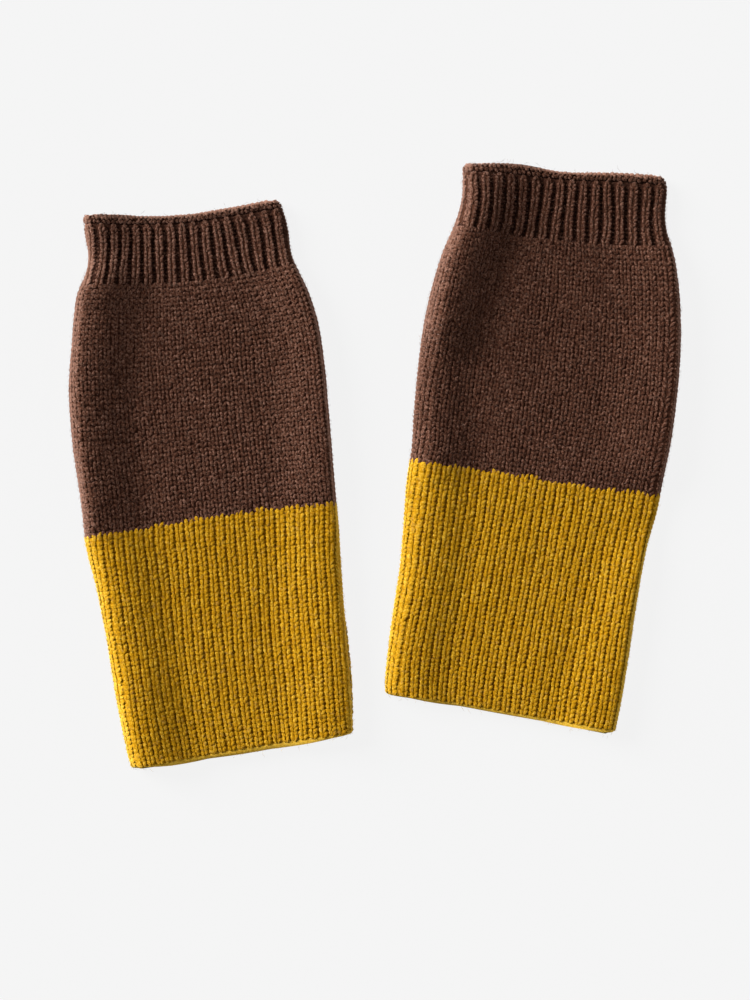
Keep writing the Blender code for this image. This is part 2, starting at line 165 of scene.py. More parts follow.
RIGHT_WARMER = {
    "name": "right",
    "seed": 12,
    "top": (76.89, 117.44),
    "lean": -6.71,
    "top_corners": (3.4, 5.6),
    # Below the left warmer's tones: painted shade. The rim and the hem are painted paler, as painted light.
    "tones": {"rim": 3.0, "cuff": 1.0, "body": -0.6, "band": 0.0, "hem": 6.5},
    "lines": {
        "rim_end": (0.9, -1.4, -0.5, -2.4, -3.4),
        "rim_foot": (4.8, 3.5, 3.1, 1.4, 0.4),
        "cuff_foot": (26.0, 27.2, 27.2, 26.2, 24.0),
        "colour_change": (122.2, 122.7, 123.6, 124.5, 125.0),
        "band_foot": (215.3, 215.5, 216.7, 218.0, 219.5),
        "hem_end": (216.5, 217.2, 218.7, 220.0, 221.7),
    },
    "sides": (
        Side(-4.8, -41.0, 40.5),
        Side(4.8, -41.3, 40.8),
        Side(14.4, -40.5, 41.5),
        Side(19.2, -40.8, 42.9),
        Side(24.0, -41.8, 45.1),
        Side(28.8, -43.3, 46.9),
        Side(38.4, -46.1, 49.6),
        Side(48.0, -47.9, 51.5),
        Side(67.2, -50.0, 53.8),
        Side(86.4, -50.2, 54.4),
        Side(105.6, -49.6, 53.9),
        Side(115.2, -49.0, 53.0),
        Side(129.6, -49.2, 51.8),
        Side(144.0, -48.7, 49.5),
        Side(163.2, -48.0, 48.1),
        Side(192.0, -48.7, 47.1),
        Side(211.2, -48.4, 46.1),
        Side(221.6, -47.2, 45.2),
    ),
    "rounds": (Side(0.0, 3.6, 3.0), Side(30.0, 6.0, 2.6), Side(222.0, 6.4, 2.6)),
    "folds": (
        Fold("left", -6.0, 134.0, 6.5, 9.5, 16.5, 2.7),
        Fold("left", -12.0, 84.0, 10.5, 7.5, 24.0, 4.6),
        Fold("left", 100.0, 244.0, 12.0, 10.0, 18.5, 1.9),
        Fold("right", 10.0, 130.0, -6.0, -1.0, 36.0, 3.9),
        Fold("right", 134.0, 244.0, -2.0, 10.0, 22.0, 2.1),
    ),
    "dents": (
        Dent(36.0, -21.0, 26.0, 9.0, -10.0, -0.35),
        Dent(56.0, 10.0, 28.0, 12.0, 14.0, 0.25),
        Dent(74.0, -2.0, 30.0, 10.0, -18.0, -0.2),
        Dent(94.0, 22.0, 24.0, 10.0, 12.0, 0.2),
        Dent(110.0, -10.0, 28.0, 11.0, -8.0, 0.2),
        Dent(146.0, 8.0, 34.0, 10.0, 6.0, -0.25),
        Dent(172.0, -14.0, 30.0, 10.0, -6.0, 0.2),
        Dent(196.0, 12.0, 28.0, 12.0, -8.0, 0.2),
    ),
    "drift": {
        "cuff": (
            Drift(7.0, (-2.0, -1.1, -0.6, -0.7, -1.0, 0.5)),
            Drift(13.6, (-1.7, -1.4, -1.2, -1.1, -0.6, 0.2)),
            Drift(20.0, (-1.4, -1.6, -2.1, -1.8, -1.4, -0.4)),
            Drift(26.4, (-0.8, -1.9, -2.5, -2.4, -3.1, -1.3)),
        ),
        "body": (
            Drift(26.4, (-0.8, -1.9, -2.5, -2.4, -3.1, -1.8)),
            Drift(51.0, (0.1, -0.7, -2.3, -1.7, -2.2, -2.7)),
            Drift(67.0, (-0.5, -0.4, -2.2, -1.7, -1.9, -2.4)),
            Drift(83.0, (-1.3, -0.7, -2.0, -1.7, -1.9, -2.4)),
            Drift(99.0, (-2.1, -1.5, -2.9, -2.2, -2.2, -3.0)),
            Drift(124.0, (-3.4, -1.7, -3.1, -2.4, -3.1, -3.0)),
        ),
        "band": (
            Drift(124.0, (1.4, 1.0, 0.3, -0.6, -1.3, -1.5)),
            Drift(143.0, (0.8, 0.8, 0.3, -0.2, -0.7, -0.8)),
            Drift(162.0, (0.0, -0.3, -0.6, -0.6, -1.1, -0.9)),
            Drift(182.0, (-0.6, -0.8, -1.2, -1.1, -1.6, -1.2)),
            Drift(200.0, (-1.1, -1.2, -1.5, -1.5, -2.0, -1.1)),
            Drift(216.0, (-1.2, -0.9, -1.4, -1.6, -2.1, -1.2)),
        ),
    },
}
WARMERS = (LEFT_WARMER, RIGHT_WARMER)


def smooth_read(at, places, values):
    """Read a smooth curve through the given values: a cubic between each two places, with matching slopes."""
    places = np.asarray(places, float)
    values = np.asarray(values, float)
    slopes = np.gradient(values, places)
    first = np.clip(np.searchsorted(places, at, side="right") - 1, 0, len(places) - 2)
    span = places[first + 1] - places[first]
    t = np.clip((at - places[first]) / span, 0.0, 1.0)
    start = (2 * t**3 - 3 * t**2 + 1) * values[first] + (t**3 - 2 * t**2 + t) * span * slopes[first]
    end = (3 * t**2 - 2 * t**3) * values[first + 1] + (t**3 - t**2) * span * slopes[first + 1]
    return start + end


def ease(t):
    """Rise from 0 to 1 with soft ends: 3t^2 - 2t^3."""
    t = np.clip(t, 0.0, 1.0)
    return t * t * (3.0 - 2.0 * t)


def hump(distance):
    """A soft hump: 1 at distance 0, falling as a cosine to 0 at distance 1."""
    return 0.5 + 0.5 * np.cos(np.pi * np.clip(distance, -1.0, 1.0))


def unit(vectors):
    return vectors / np.maximum(np.linalg.norm(vectors, axis=-1, keepdims=True), 1e-9)


def share_across(place):
    """How far across a place lies, from 0 at the left side to 1 at the right side, on either layer."""
    place = np.mod(place, 2.0)
    return np.where(place <= 1.0, place, 2.0 - place)


def line_along(warmer, name, share):
    return smooth_read(share, LINE_STATIONS, warmer["lines"][name])


def corner_inset(distance, radius):
    """How far a rounded corner draws a side in, at a distance d from the end: r - sqrt(r^2 - (r - d)^2)."""
    short = np.clip(radius - distance, 0.0, radius)
    return radius - np.sqrt(radius**2 - short**2)


def read_sides(rows, along):
    """The left and the right value of Side rows, each read as a smooth curve."""
    rows = Side(*np.array(rows).T)
    return smooth_read(along, rows.along, rows.left), smooth_read(along, rows.along, rows.right)


def sides(warmer, along, share):
    """Left and right side of a warmer, drawn in at its rounded corners."""
    left, right = read_sides(warmer["sides"], along)
    from_rim = along - line_along(warmer, "rim_end", share)
    at_hem = corner_inset(line_along(warmer, "hem_end", share) - along, HEM_CORNER)
    left_corner, right_corner = warmer["top_corners"]
    left = left + corner_inset(from_rim, left_corner) + at_hem
    right = right - corner_inset(from_rim, right_corner) - at_hem
    return left, right


def dent_height(warmer, along, across):
    """Sum of the short dents: each is a soft hump along its own length times one across its own width."""
    height = np.zeros(np.shape(along))
    for dent in warmer["dents"]:
        turn = math.radians(dent.turn)
        down = along - dent.along
        over = across - dent.across
        lengthways = (down * math.cos(turn) + over * math.sin(turn)) / dent.length
        widthways = (over * math.cos(turn) - down * math.sin(turn)) / dent.width
        height += dent.rise * hump(lengthways) * hump(widthways)
    return height


def front_height(warmer, along, across, left, right):
    """Height of the front layer's outside: flat, with each fold's soft ridge or trough and the dents."""
    height = np.full(np.shape(along), FLAT_HEIGHT)
    for fold in warmer["folds"]:
        progress = np.clip((along - fold.first) / (fold.last - fold.first), 0.0, 1.0)
        inset = fold.first_inset + (fold.last_inset - fold.first_inset) * progress
        from_side = across - left if fold.side == "left" else right - across
        fade = ease((along - fold.first) / FOLD_FADE) * ease((fold.last - along) / FOLD_FADE)
        height += fold.rise * hump((from_side - inset) / fold.half_width) * fade
    return height + dent_height(warmer, along, across)


def side_rounding(warmer, along, depth):
    """How far in from the left and the right side a layer rounds over, outside or, at a depth, inside."""
    if depth > 0.0:
        return INNER_ROUND, INNER_ROUND
    return read_sides(warmer["rounds"], along)


def tube_points(warmer, along, place, depth=0.0):
    """Points of the flattened tube, in millimetres in the pair's frame.

    Near a side the cloth follows a quarter of an ellipse and its places are spaced evenly on the cloth. The
    front then lies at the folded height, and the underside flat on the floor. depth is 0 on the outside and
    the wall's thickness on the inside.
    """
    share = share_across(place)
    on_front = np.mod(place, 2.0) <= 1.0
    left, right = sides(warmer, along, share)
    left_round, right_round = side_rounding(warmer, along, depth)
    left_wall = left + depth
    right_wall = right - depth
    left_quarter = math.pi / 4 * (left_round + SIDE_HEIGHT - depth)
    right_quarter = math.pi / 4 * (right_round + SIDE_HEIGHT - depth)
    cloth = right_wall - left_wall - left_round - right_round + left_quarter + right_quarter
    rounding = np.where(share < 0.5, left_round, right_round)
    quarter = np.where(share < 0.5, left_quarter, right_quarter)
    nearest = np.minimum(share, 1.0 - share) * cloth
    turn = np.minimum(nearest / quarter, 1.0) * math.pi / 2
    inset = rounding * (1.0 - np.cos(turn)) + np.maximum(nearest - quarter, 0.0)
    across = np.where(share < 0.5, left_wall + inset, right_wall - inset)
    top = front_height(warmer, along, across, left, right) - depth
    front = SIDE_HEIGHT + (top - SIDE_HEIGHT) * np.sin(turn)
    underside = SIDE_HEIGHT - (SIDE_HEIGHT - depth) * np.sin(turn)
    height = np.where(on_front, front, underside)
    lean = math.radians(warmer["lean"])
    x = warmer["top"][0] + across * math.cos(lean) + along * math.sin(lean)
    y = warmer["top"][1] + across * math.sin(lean) - along * math.cos(lean)
    return np.stack((x, y, height), axis=-1)


DOWN_STEP = 0.4           # millimetres along over which the cloth's direction is read
ROUND_STEP = 0.004        # places round the tube over which it is read
MOST_SPREAD = 1.8         # a stitch is never drawn out to more than this


def step_round(warmer, along, place):
    return tube_points(warmer, along, place + ROUND_STEP) - tube_points(warmer, along, place - ROUND_STEP)


def cloth_frame(warmer, along, place, slope=None):
    """Points on the outside of the tube, and the directions out of the cloth there.

    The outward direction is the cross product of a short step down the cloth and a short step round it. A
    slope, the rise of the outside for each millimetre down the cloth, leans it back towards the top.
    """
    down = tube_points(warmer, along + DOWN_STEP, place) - tube_points(warmer, along - DOWN_STEP, place)
    normal = unit(np.cross(down, step_round(warmer, along, place)))
    if slope is not None:
        normal = unit(normal - slope[..., None] * unit(down))
    return tube_points(warmer, along, place), normal


def cloth_spread(warmer, along, place):
    """How far the cloth is drawn out round the tube, as a multiple of the even spacing of its places."""
    reach = np.linalg.norm(step_round(warmer, along, place), axis=-1)
    left, right = sides(warmer, along, share_across(place))
    return np.clip(reach / (2 * ROUND_STEP * (right - left)), 1.0, MOST_SPREAD)


# ---- The stretches of knit ----

# A stretch lies between two of the lines. wales is the number of columns over the front, and the underside
# has as many; a column is one stitch wide, or one rib in a ribbed stretch. rows is the number of courses, rib
# is how high the ribs stand, and wander is how far whole columns waver to either side. flow names the drift
# that it follows.
Stretch = namedtuple("Stretch", "name upper lower wales rows rib wander flow yarn")
RIM = Stretch("rim", "rim_end", "rim_foot", 46.0, 3, 0.0, 0.3, "cuff", "brown")
CUFF = Stretch("cuff", "rim_foot", "cuff_foot", 17.5, 15, 1.2, 0.3, "cuff", "brown")
PLAIN = Stretch("body", "cuff_foot", "colour_change", 35.0, 50, 0.0, 0.4, "body", "brown")
BAND = Stretch("band", "colour_change", "band_foot", 25.5, 51, 0.68, 0.25, "band", "mustard")
HEM = Stretch("hem", "band_foot", "hem_end", 51.0, 3, 0.0, 0.0, "band", "mustard")
STRETCHES = (RIM, CUFF, PLAIN, BAND, HEM)

RIB_SINK = 0.55           # share of a rib's height that lies below the level of the plain knit
RIB_ROUNDNESS = 0.6       # below 1, crowns are broad and valleys narrow
RIB_END_HEIGHT = 0.4      # share of its height that a rib keeps at its two ends
RIB_END_ROWS = 2.2        # courses over which it falls to that
RIB_SIDE_HEIGHT = 0.25    # share of its height that a rib keeps where the cloth turns under at a side
RIB_SIDE_SHARE = 0.08     # share of the way across over which it falls to that
SHELL_DEPTH = 0.55        # how far the base cloth lies below the crowns of the stitches
SIDE_SHELL_DEPTH = 0.34   # the same at a side
SIDE_SHARE = 0.05         # share of the way across in which the base cloth rises and the stitches lie calmer
UNDERSIDE_SINK = 0.42     # how far the stitches of the underside are pressed into the cloth
UNDERSIDE_RISE = 0.35     # how much less deep the base cloth lies there
PRESS_SLOPE = 1.6         # how soon the cloth lies pressed once it has turned under
FLOOR_GAP = 0.02

# How far the outside stands beyond the plain knit at each step down a rim and a hem
Swell = namedtuple("Swell", "step outward")
PROFILES = {
    "rim": (
        Swell(0.0, -1.1),
        Swell(0.1, -0.25),
        Swell(0.35, 0.4),
        Swell(0.6, 0.35),
        Swell(0.85, -0.05),
        Swell(1.0, -0.35),
    ),
    "hem": (Swell(0.0, -0.1), Swell(0.35, 0.15), Swell(0.75, -0.1), Swell(1.0, -0.9)),
}
PINNED_SHARE = 0.06       # share of the way across in which the columns line up with a side
SIDE_SHIFTS = {"body": 0.34}      # how far the columns lie to the right there, in millimetres
EDGE_LENGTH = 3.2         # millimetres of cloth in a rim or a hem
SLOPE_STEP = 0.12         # steps to either side over which an edge's slope is read


def pressed(normal):
    """How far the cloth lies pressed on the floor: 0 on the front and the sides, 1 on the underside."""
    return ease(-PRESS_SLOPE * normal[..., 2])


def between_lines(warmer, upper, lower, step, place):
    """How far along a step lies: straight from the upper line (0) to the lower line (1)."""
    share = share_across(place)
    start = line_along(warmer, upper, share)
    return start + (line_along(warmer, lower, share) - start) * step


def stretch_along(warmer, stretch, step, place):
    return between_lines(warmer, stretch.upper, stretch.lower, step, place)


def rib_crown(stretch, even):
    """A rib's rounded crown across its column, |sin|^0.6: 0 in the valleys and 1 on top."""
    return np.abs(np.sin(np.pi * even * stretch.wales)) ** RIB_ROUNDNESS


def from_side(even, reach):
    """How far in from a side a place lies: 0 at the side and 1 from the given share of the way across."""
    share = share_across(even)
    return ease(np.minimum(share, 1.0 - share) / reach)


def edge_profile(stretch, step):
    profile = Swell(*np.array(PROFILES[stretch.name]).T)
    return np.interp(step, profile.step, profile.outward)


def swell(stretch, step, even):
    """How far the cloth stands out: a rib, lower at its ends and the sides, or an edge's profile."""
    if stretch.name in PROFILES:
        return edge_profile(stretch, step)
    from_end = np.minimum(step, 1.0 - step) * stretch.rows
    kept = RIB_END_HEIGHT + (1.0 - RIB_END_HEIGHT) * ease(from_end / RIB_END_ROWS)
    kept = kept * (RIB_SIDE_HEIGHT + (1.0 - RIB_SIDE_HEIGHT) * from_side(even, RIB_SIDE_SHARE))
    return stretch.rib * kept * (rib_crown(stretch, even) - RIB_SINK)


def edge_slope(stretch, step):
    """How steeply the outside of a rim or a hem rises for each millimetre down the cloth; none elsewhere."""
    if stretch.name not in PROFILES:
        return None
    rise = edge_profile(stretch, step + SLOPE_STEP) - edge_profile(stretch, step - SLOPE_STEP)
    return rise / (2 * SLOPE_STEP * EDGE_LENGTH)


# The sine waves by which columns waver: millimetres down for a radian, radians for a place round the tube,
# height, and what the seed is multiplied by for the start
Wave = namedtuple("Wave", "length turn height start")
WAVES = (Wave(9.0, 17.0, 1.0, 1.0), Wave(5.1, -31.0, 0.7, 1.7), Wave(3.1, 53.0, 0.5, 2.3))


def waver(warmer, along, place):
    """How the columns waver sideways, from -1 to 1: the sum of sine waves of different lengths."""
    waves = [
        wave.height * np.sin(along / wave.length + place * wave.turn + wave.start * warmer["seed"])
        for wave in WAVES
    ]
    return sum(waves) / sum(wave.height for wave in WAVES)


def lie(warmer, stretch, step, even):
    """Where a step and an evenly spaced place of a stretch really lie, as along and place.

    The place moves by the drift, which blends softly from each of the six stations to the next, and by the
    waver of the columns.
    """
    share = share_across(even)
    along = stretch_along(warmer, stretch, step, even)
    rows = Drift(*zip(*warmer["drift"][stretch.flow]))
    stations = np.array(rows.shifts).T
    position = np.clip(share * len(stations) - 0.5, 0, len(stations) - 1)
    shift = stretch.wander * waver(warmer, along, even)
    for station, shifts in enumerate(stations):
        shift = shift + ease(1.0 - np.abs(position - station)) * smooth_read(along, rows.along, shifts)
    if stretch.name in SIDE_SHIFTS:
        free = from_side(even, PINNED_SHARE)
        shift = SIDE_SHIFTS[stretch.name] * (1.0 - free) + shift * free
    left, right = sides(warmer, along, share)
    place = even + shift / (right - left)
    return stretch_along(warmer, stretch, step, place), place


# ---- Settings ----

def length_setting(name, default, description):
    return FloatProperty(
        name=name, description=description, default=default, min=0.0, precision=5, unit="LENGTH"
    )


def colour_setting(name, default, description):
    return FloatVectorProperty(
        name=name, description=description, default=default, subtype="COLOR", size=3, min=0.0, max=1.0
    )


class KnitSizes(PropertyGroup):
    """Sizes of the yarn and of its fuzz."""

    plain_yarn: length_setting("Plain yarn", 0.00122, "Width of one leg of a plain stitch at its fattest")
    cuff_yarn: length_setting("Cuff yarn", 0.00110, "Width of one leg of a stitch in the cuff's ribs")
    band_yarn: length_setting("Band yarn", 0.00146, "Width of one leg of a stitch in the band's ribs")
    rim_yarn: length_setting("Rim yarn", 0.00190, "Width of one knob of the rolled rim")
    fuzz_length: length_setting("Fuzz length", 0.0022, "Mean length of the loose fibres")
    fuzz_width: length_setting("Fuzz width", 0.00009, "Width of a loose fibre at its middle")
    fuzz_count: IntProperty(
        name="Fuzz fibres", description="Loose fibres on each warmer", default=7000, min=0, max=12000
    )


class YarnColours(PropertyGroup):
    """Colours of the two wools and of the floor."""

    brown_shade: colour_setting("Brown shade", (0.024, 0.007, 0.0035), "Darkest fibres of the brown wool")
    brown: colour_setting("Brown", (0.0785, 0.0288, 0.0151), "Middle tone of the brown wool")
    brown_light: colour_setting("Brown light", (0.23, 0.118, 0.082), "Palest fibres of the brown wool")
    brown_grey: colour_setting("Brown grey", (0.095, 0.05, 0.034), "Stray fibres of the brown wool")
    mustard_shade: colour_setting("Mustard shade", (0.30, 0.125, 0.001), "Darkest fibres of the mustard wool")
    mustard: colour_setting("Mustard", (0.505, 0.248, 0.002), "Middle tone of the mustard wool")
    mustard_light: colour_setting("Mustard light", (0.72, 0.45, 0.05), "Palest fibres of the mustard wool")
    mustard_grey: colour_setting("Mustard grey", (0.42, 0.225, 0.04), "Stray fibres of the mustard wool")
    floor: colour_setting("Floor", (0.04, 0.04, 0.04), "The pale floor")


def strength_setting(name, default, description):
    return FloatProperty(name=name, description=description, default=default, min=0.0)


class StudioSizes(PropertyGroup):
    """Camera and lights."""

    camera_height: length_setting("Camera height", 1.605, "Height of the lens above the floor")
    view_height: length_setting("View height", 0.400, "Length of the floor that the picture takes in")
    key: strength_setting("Key light", 8.3, "Strength of the key light")
    reflector: strength_setting("Reflector", 1.3, "Strength of the low light back")
    fill: strength_setting("Fill light", 0.10, "Strength of the surrounding light")
    glow: strength_setting("Floor glow", 0.868, "Light that the floor gives off")


def sizes():
    return bpy.context.scene.knit_sizes


def colours():
    return bpy.context.scene.yarn_colours


# ---- Materials ----

# Scales of the noise in the wool
FIBRE_SCALE = 1500.0
FLECK_SCALE = 620.0
STRAY_SCALE = 700.0
PATCH_SCALE = 55.0
# A tone of 0 is the wool's darkest colour and 1 its palest. A stitch has the middle tone, and each amount is
# how far one cause changes it: painted light where the cloth turns under, and the unevenness of the wool.
MIDDLE_TONE = 0.49
STITCH_AMOUNT = 0.05
SIDE_PAINTED_LIGHT = 0.5       # painted light: paler where the cloth turns under at a side
FLECK_AMOUNT = 0.3
PATCH_AMOUNT = 0.08
PLY_AMOUNT = 0.05
DARKEST_AT = 0.05         # tones at which the ramp of colours starts and ends
PALEST_AT = 0.95
PLIES = 3
PLY_TURNS = 2.5           # turns of a ply along one stitch
STRAY_CONTRAST = 5.0
STRAY_START = -2.85
MOST_STRAY = 0.7
FOOT_SHADE = 0.45         # painted shade: light that is left in the colour at the foot of a stitch
FOOT_REACH = 0.5          # share of a stitch's height up to which its colour is painted darker
FIBRE_RELIEF = 1.6        # how far the fibres and the plies stand out in the relief of a stitch
PLY_RELIEF = 0.5
STITCH_BUMP = (0.7, 0.00012)      # strength, and depth in metres
DEEP_BUMP = (0.6, 0.0002)
DEEP_SHADE_TONE = -0.25         # painted shade: tone of the base cloth where nothing makes it paler
DEEP_GRAIN = 0.8
DEEP_CROWN_AMOUNT = 0.4
DEEP_SIDE_LIGHT_POWER = 3.0     # the higher, the nearer to a side the painted light turns the base cloth pale

# Sockets of a Mix node that blends colours
MIX_FIRST = 6
MIX_SECOND = 7
MIX_RESULT = 2

# grain is how much the fibres change the tone, softness how far loose fibres turn a stitch's shading towards
# that of the cloth under it, and deep_shade and deep_warmth how light the base cloth's colours are, which
# paint the shade between the stitches.
Finish = namedtuple("Finish", "grain sheen_tint sheen softness deep_shade deep_warmth")
FINISHES = {
    "brown": Finish(1.85, (1.0, 0.64, 0.52), 0.8, 0.45, 0.6, 0.9),
    "mustard": Finish(1.6, (1.0, 0.82, 0.20), 0.5, 0.6, 1.6, 1.05),
}


def new_material(name):
    """A new material with its node tree and its shader."""
    material = bpy.data.materials.new(name)
    material.use_nodes = True
    return material, material.node_tree, material.node_tree.nodes["Principled BSDF"]


def new_node(tree, kind, **settings):
    node = tree.nodes.new(kind)
    for name, value in settings.items():
        setattr(node, name, value)
    return node


def link(tree, source, node, socket):
    tree.links.new(source, node.inputs[socket])


def set_inputs(node, values):
    for socket, value in values.items():
        node.inputs[socket].default_value = value


def attribute_value(tree, name):
    return new_node(tree, "ShaderNodeAttribute", attribute_name=name).outputs["Fac"]


def math_node(tree, operation, first, second=None, third=None):
    """A Math node whose inputs are sockets or numbers."""
    node = new_node(tree, "ShaderNodeMath", operation=operation)
    for index, value in enumerate((first, second, third)):
        if value is None:
            continue
        if isinstance(value, (int, float)):
            node.inputs[index].default_value = value
        else:
            link(tree, value, node, index)
    return node.outputs[0]


def noise_value(tree, coordinates, scale, detail):
    node = new_node(tree, "ShaderNodeTexNoise")
    set_inputs(node, {"Scale": scale, "Detail": detail})
    link(tree, coordinates, node, "Vector")
    return node.outputs["Fac"]


def add_evenly(tree, factor, noise, amount):
    """Add a noise evenly to both sides: factor + amount * (noise - 1/2)."""
    return math_node(tree, "ADD", factor, math_node(tree, "MULTIPLY_ADD", noise, amount, -0.5 * amount))


def wool_ramp(tree, factor, shades, middle_at):
    """A colour ramp through a wool's dark, middle and light shade."""
    ramp = new_node(tree, "ShaderNodeValToRGB")
    elements = ramp.color_ramp.elements
    elements.new(0.5)
    for element, position, shade in zip(elements, (DARKEST_AT, middle_at, PALEST_AT), shades):
        element.position = position
        element.color = (*shade, 1.0)
    link(tree, factor, ramp, "Fac")
    return ramp.outputs["Color"]


def blended(tree, blend_type, factor, first, second):
    """A colour blended from two: the factor is a socket or a number, the second a socket or a colour."""
    node = new_node(tree, "ShaderNodeMix", data_type="RGBA", blend_type=blend_type)
    if isinstance(factor, float):
        node.inputs["Factor"].default_value = factor
    else:
        link(tree, factor, node, "Factor")
    link(tree, first, node, MIX_FIRST)
    if isinstance(second, tuple):
        node.inputs[MIX_SECOND].default_value = (*second, 1.0)
    else:
        link(tree, second, node, MIX_SECOND)
    return node.outputs[MIX_RESULT]


def raise_relief(tree, relief, strength, distance):
    """Raise a relief on the shader's surface, as a bump."""
    dimple = new_node(tree, "ShaderNodeBump")
    set_inputs(dimple, {"Strength": strength, "Distance": distance})
    link(tree, relief, dimple, "Height")
    link(tree, dimple.outputs["Normal"], tree.nodes["Principled BSDF"], "Normal")


def ply_wave(tree):
    """The twist of the plies, from -1 to 1: a sine of the turn, which runs on along the stitch."""
    split = new_node(tree, "ShaderNodeSeparateXYZ")
    link(tree, new_node(tree, "ShaderNodeUVMap", uv_map="strand").outputs["UV"], split, "Vector")
    twist = math_node(tree, "MULTIPLY_ADD", split.outputs["X"], PLY_TURNS, split.outputs["Y"])
    return math_node(tree, "SINE", math_node(tree, "MULTIPLY", twist, 2 * math.pi * PLIES))


def wool(name, shades, grey, finish):
    """Heathered wool for stitches.

    Each stitch has its own tone. Fibre noise, slow patches and the twist of the plies change it, painted
    light makes it paler where the cloth turns under at a side, painted shade darkens a stitch down towards
    the cloth and at its poles, and a few greyish fibres show here and there.
    """
    material, tree, shader = new_material(name)
    place = new_node(tree, "ShaderNodeTexCoord").outputs["Object"]
    fibres = noise_value(tree, place, FIBRE_SCALE, 3.0)
    ply = ply_wave(tree)

    # Painted light: the stitches are coloured paler where the cloth turns under at a side.
    factor = math_node(tree, "MULTIPLY_ADD", attribute_value(tree, "turned"), SIDE_PAINTED_LIGHT, MIDDLE_TONE)
    factor = math_node(tree, "MULTIPLY_ADD", attribute_value(tree, "tone"), STITCH_AMOUNT, factor)
    factor = add_evenly(tree, factor, fibres, finish.grain)
    factor = add_evenly(tree, factor, noise_value(tree, place, FLECK_SCALE, 1.0), FLECK_AMOUNT)
    factor = add_evenly(tree, factor, noise_value(tree, place, PATCH_SCALE, 2.0), PATCH_AMOUNT)
    factor = math_node(tree, "MULTIPLY_ADD", ply, PLY_AMOUNT, factor)
    colour = wool_ramp(tree, factor, shades, 0.5)
    stray = noise_value(tree, place, STRAY_SCALE, 2.0)
    stray = math_node(tree, "MULTIPLY_ADD", stray, STRAY_CONTRAST, STRAY_START)
    stray = math_node(tree, "MINIMUM", math_node(tree, "MAXIMUM", stray, 0.0), MOST_STRAY)
    colour = blended(tree, "MIX", stray, colour, grey)

    # Painted shade: the colour darkens down towards the foot of each stitch and at its poles.
    depth = new_node(tree, "ShaderNodeMapRange")
    link(tree, attribute_value(tree, "crown"), depth, "Value")
    set_inputs(depth, {"From Max": FOOT_REACH, "To Min": FOOT_SHADE})
    link(tree, blended(tree, "MULTIPLY", 1.0, colour, depth.outputs["Result"]), shader, "Base Color")
    relief = math_node(tree, "MULTIPLY", fibres, FIBRE_RELIEF)
    raise_relief(tree, math_node(tree, "MULTIPLY_ADD", ply, PLY_RELIEF, relief), *STITCH_BUMP)
    set_inputs(shader, {
        "Roughness": 0.9,
        "Specular IOR Level": 0.08,
        "Sheen Weight": finish.sheen,
        "Sheen Roughness": 0.35,
        "Sheen Tint": (*finish.sheen_tint, 1.0),
    })
    return material


def deep_wool(name, shades):
    """The wool of the base cloth, deep between the stitches, coloured darker as painted shade; painted light
    makes it paler where the cloth turns under.
    """
    material, tree, shader = new_material(name)
    place = new_node(tree, "ShaderNodeTexCoord").outputs["Object"]
    fibres = noise_value(tree, place, FIBRE_SCALE, 3.0)
    factor = math_node(tree, "MULTIPLY_ADD", fibres, DEEP_GRAIN, DEEP_SHADE_TONE)
    # Painted shade: the base cloth is coloured darkest in the ribs' valleys and paler on their crowns.
    factor = math_node(tree, "MULTIPLY_ADD", attribute_value(tree, "crown"), DEEP_CROWN_AMOUNT, factor)
    # Painted light: the base cloth is coloured paler near a side.
    turned = math_node(tree, "POWER", attribute_value(tree, "turned"), DEEP_SIDE_LIGHT_POWER)
    factor = math_node(tree, "ADD", turned, factor)
    link(tree, wool_ramp(tree, factor, shades, 0.6), shader, "Base Color")
    raise_relief(tree, fibres, *DEEP_BUMP)
    set_inputs(shader, {"Roughness": 0.95, "Specular IOR Level": 0.1})
    return material


def yarn_material(yarn, deep):
    """The material of a yarn, or of its base cloth, made once."""
    name = f"{yarn}_wool_{'deep' if deep else 'stitches'}"
    if name in bpy.data.materials:
        return bpy.data.materials[name]
    finish = FINISHES[yarn]
    parts = ("_shade", "", "_light", "_grey")
    shade, middle, light, grey = [getattr(colours(), yarn + part) for part in parts]
    # The base cloth's colours are the yarn's, scaled into painted shade.
    if deep:
        shade = [finish.deep_shade * part for part in shade]
        middle = [finish.deep_warmth * part for part in middle]
        return deep_wool(name, (shade, middle, light))
    return wool(name, (shade, middle, light), tuple(grey), finish)


# ---- Meshes ----

def soften(mesh, cloth_normals, softness):
    """Shade each point along a blend of its own normal and of the cloth's, as fuzzy wool does."""
    own = np.empty(3 * len(mesh.vertices), np.float32)
    mesh.vertex_normals.foreach_get("vector", own)
    blend = (1.0 - softness) * own.reshape(-1, 3) + softness * cloth_normals
    mesh.normals_split_custom_set_from_vertices(unit(blend))


def part_name(warmer, part):
    return f"{warmer['name']}_{part}"


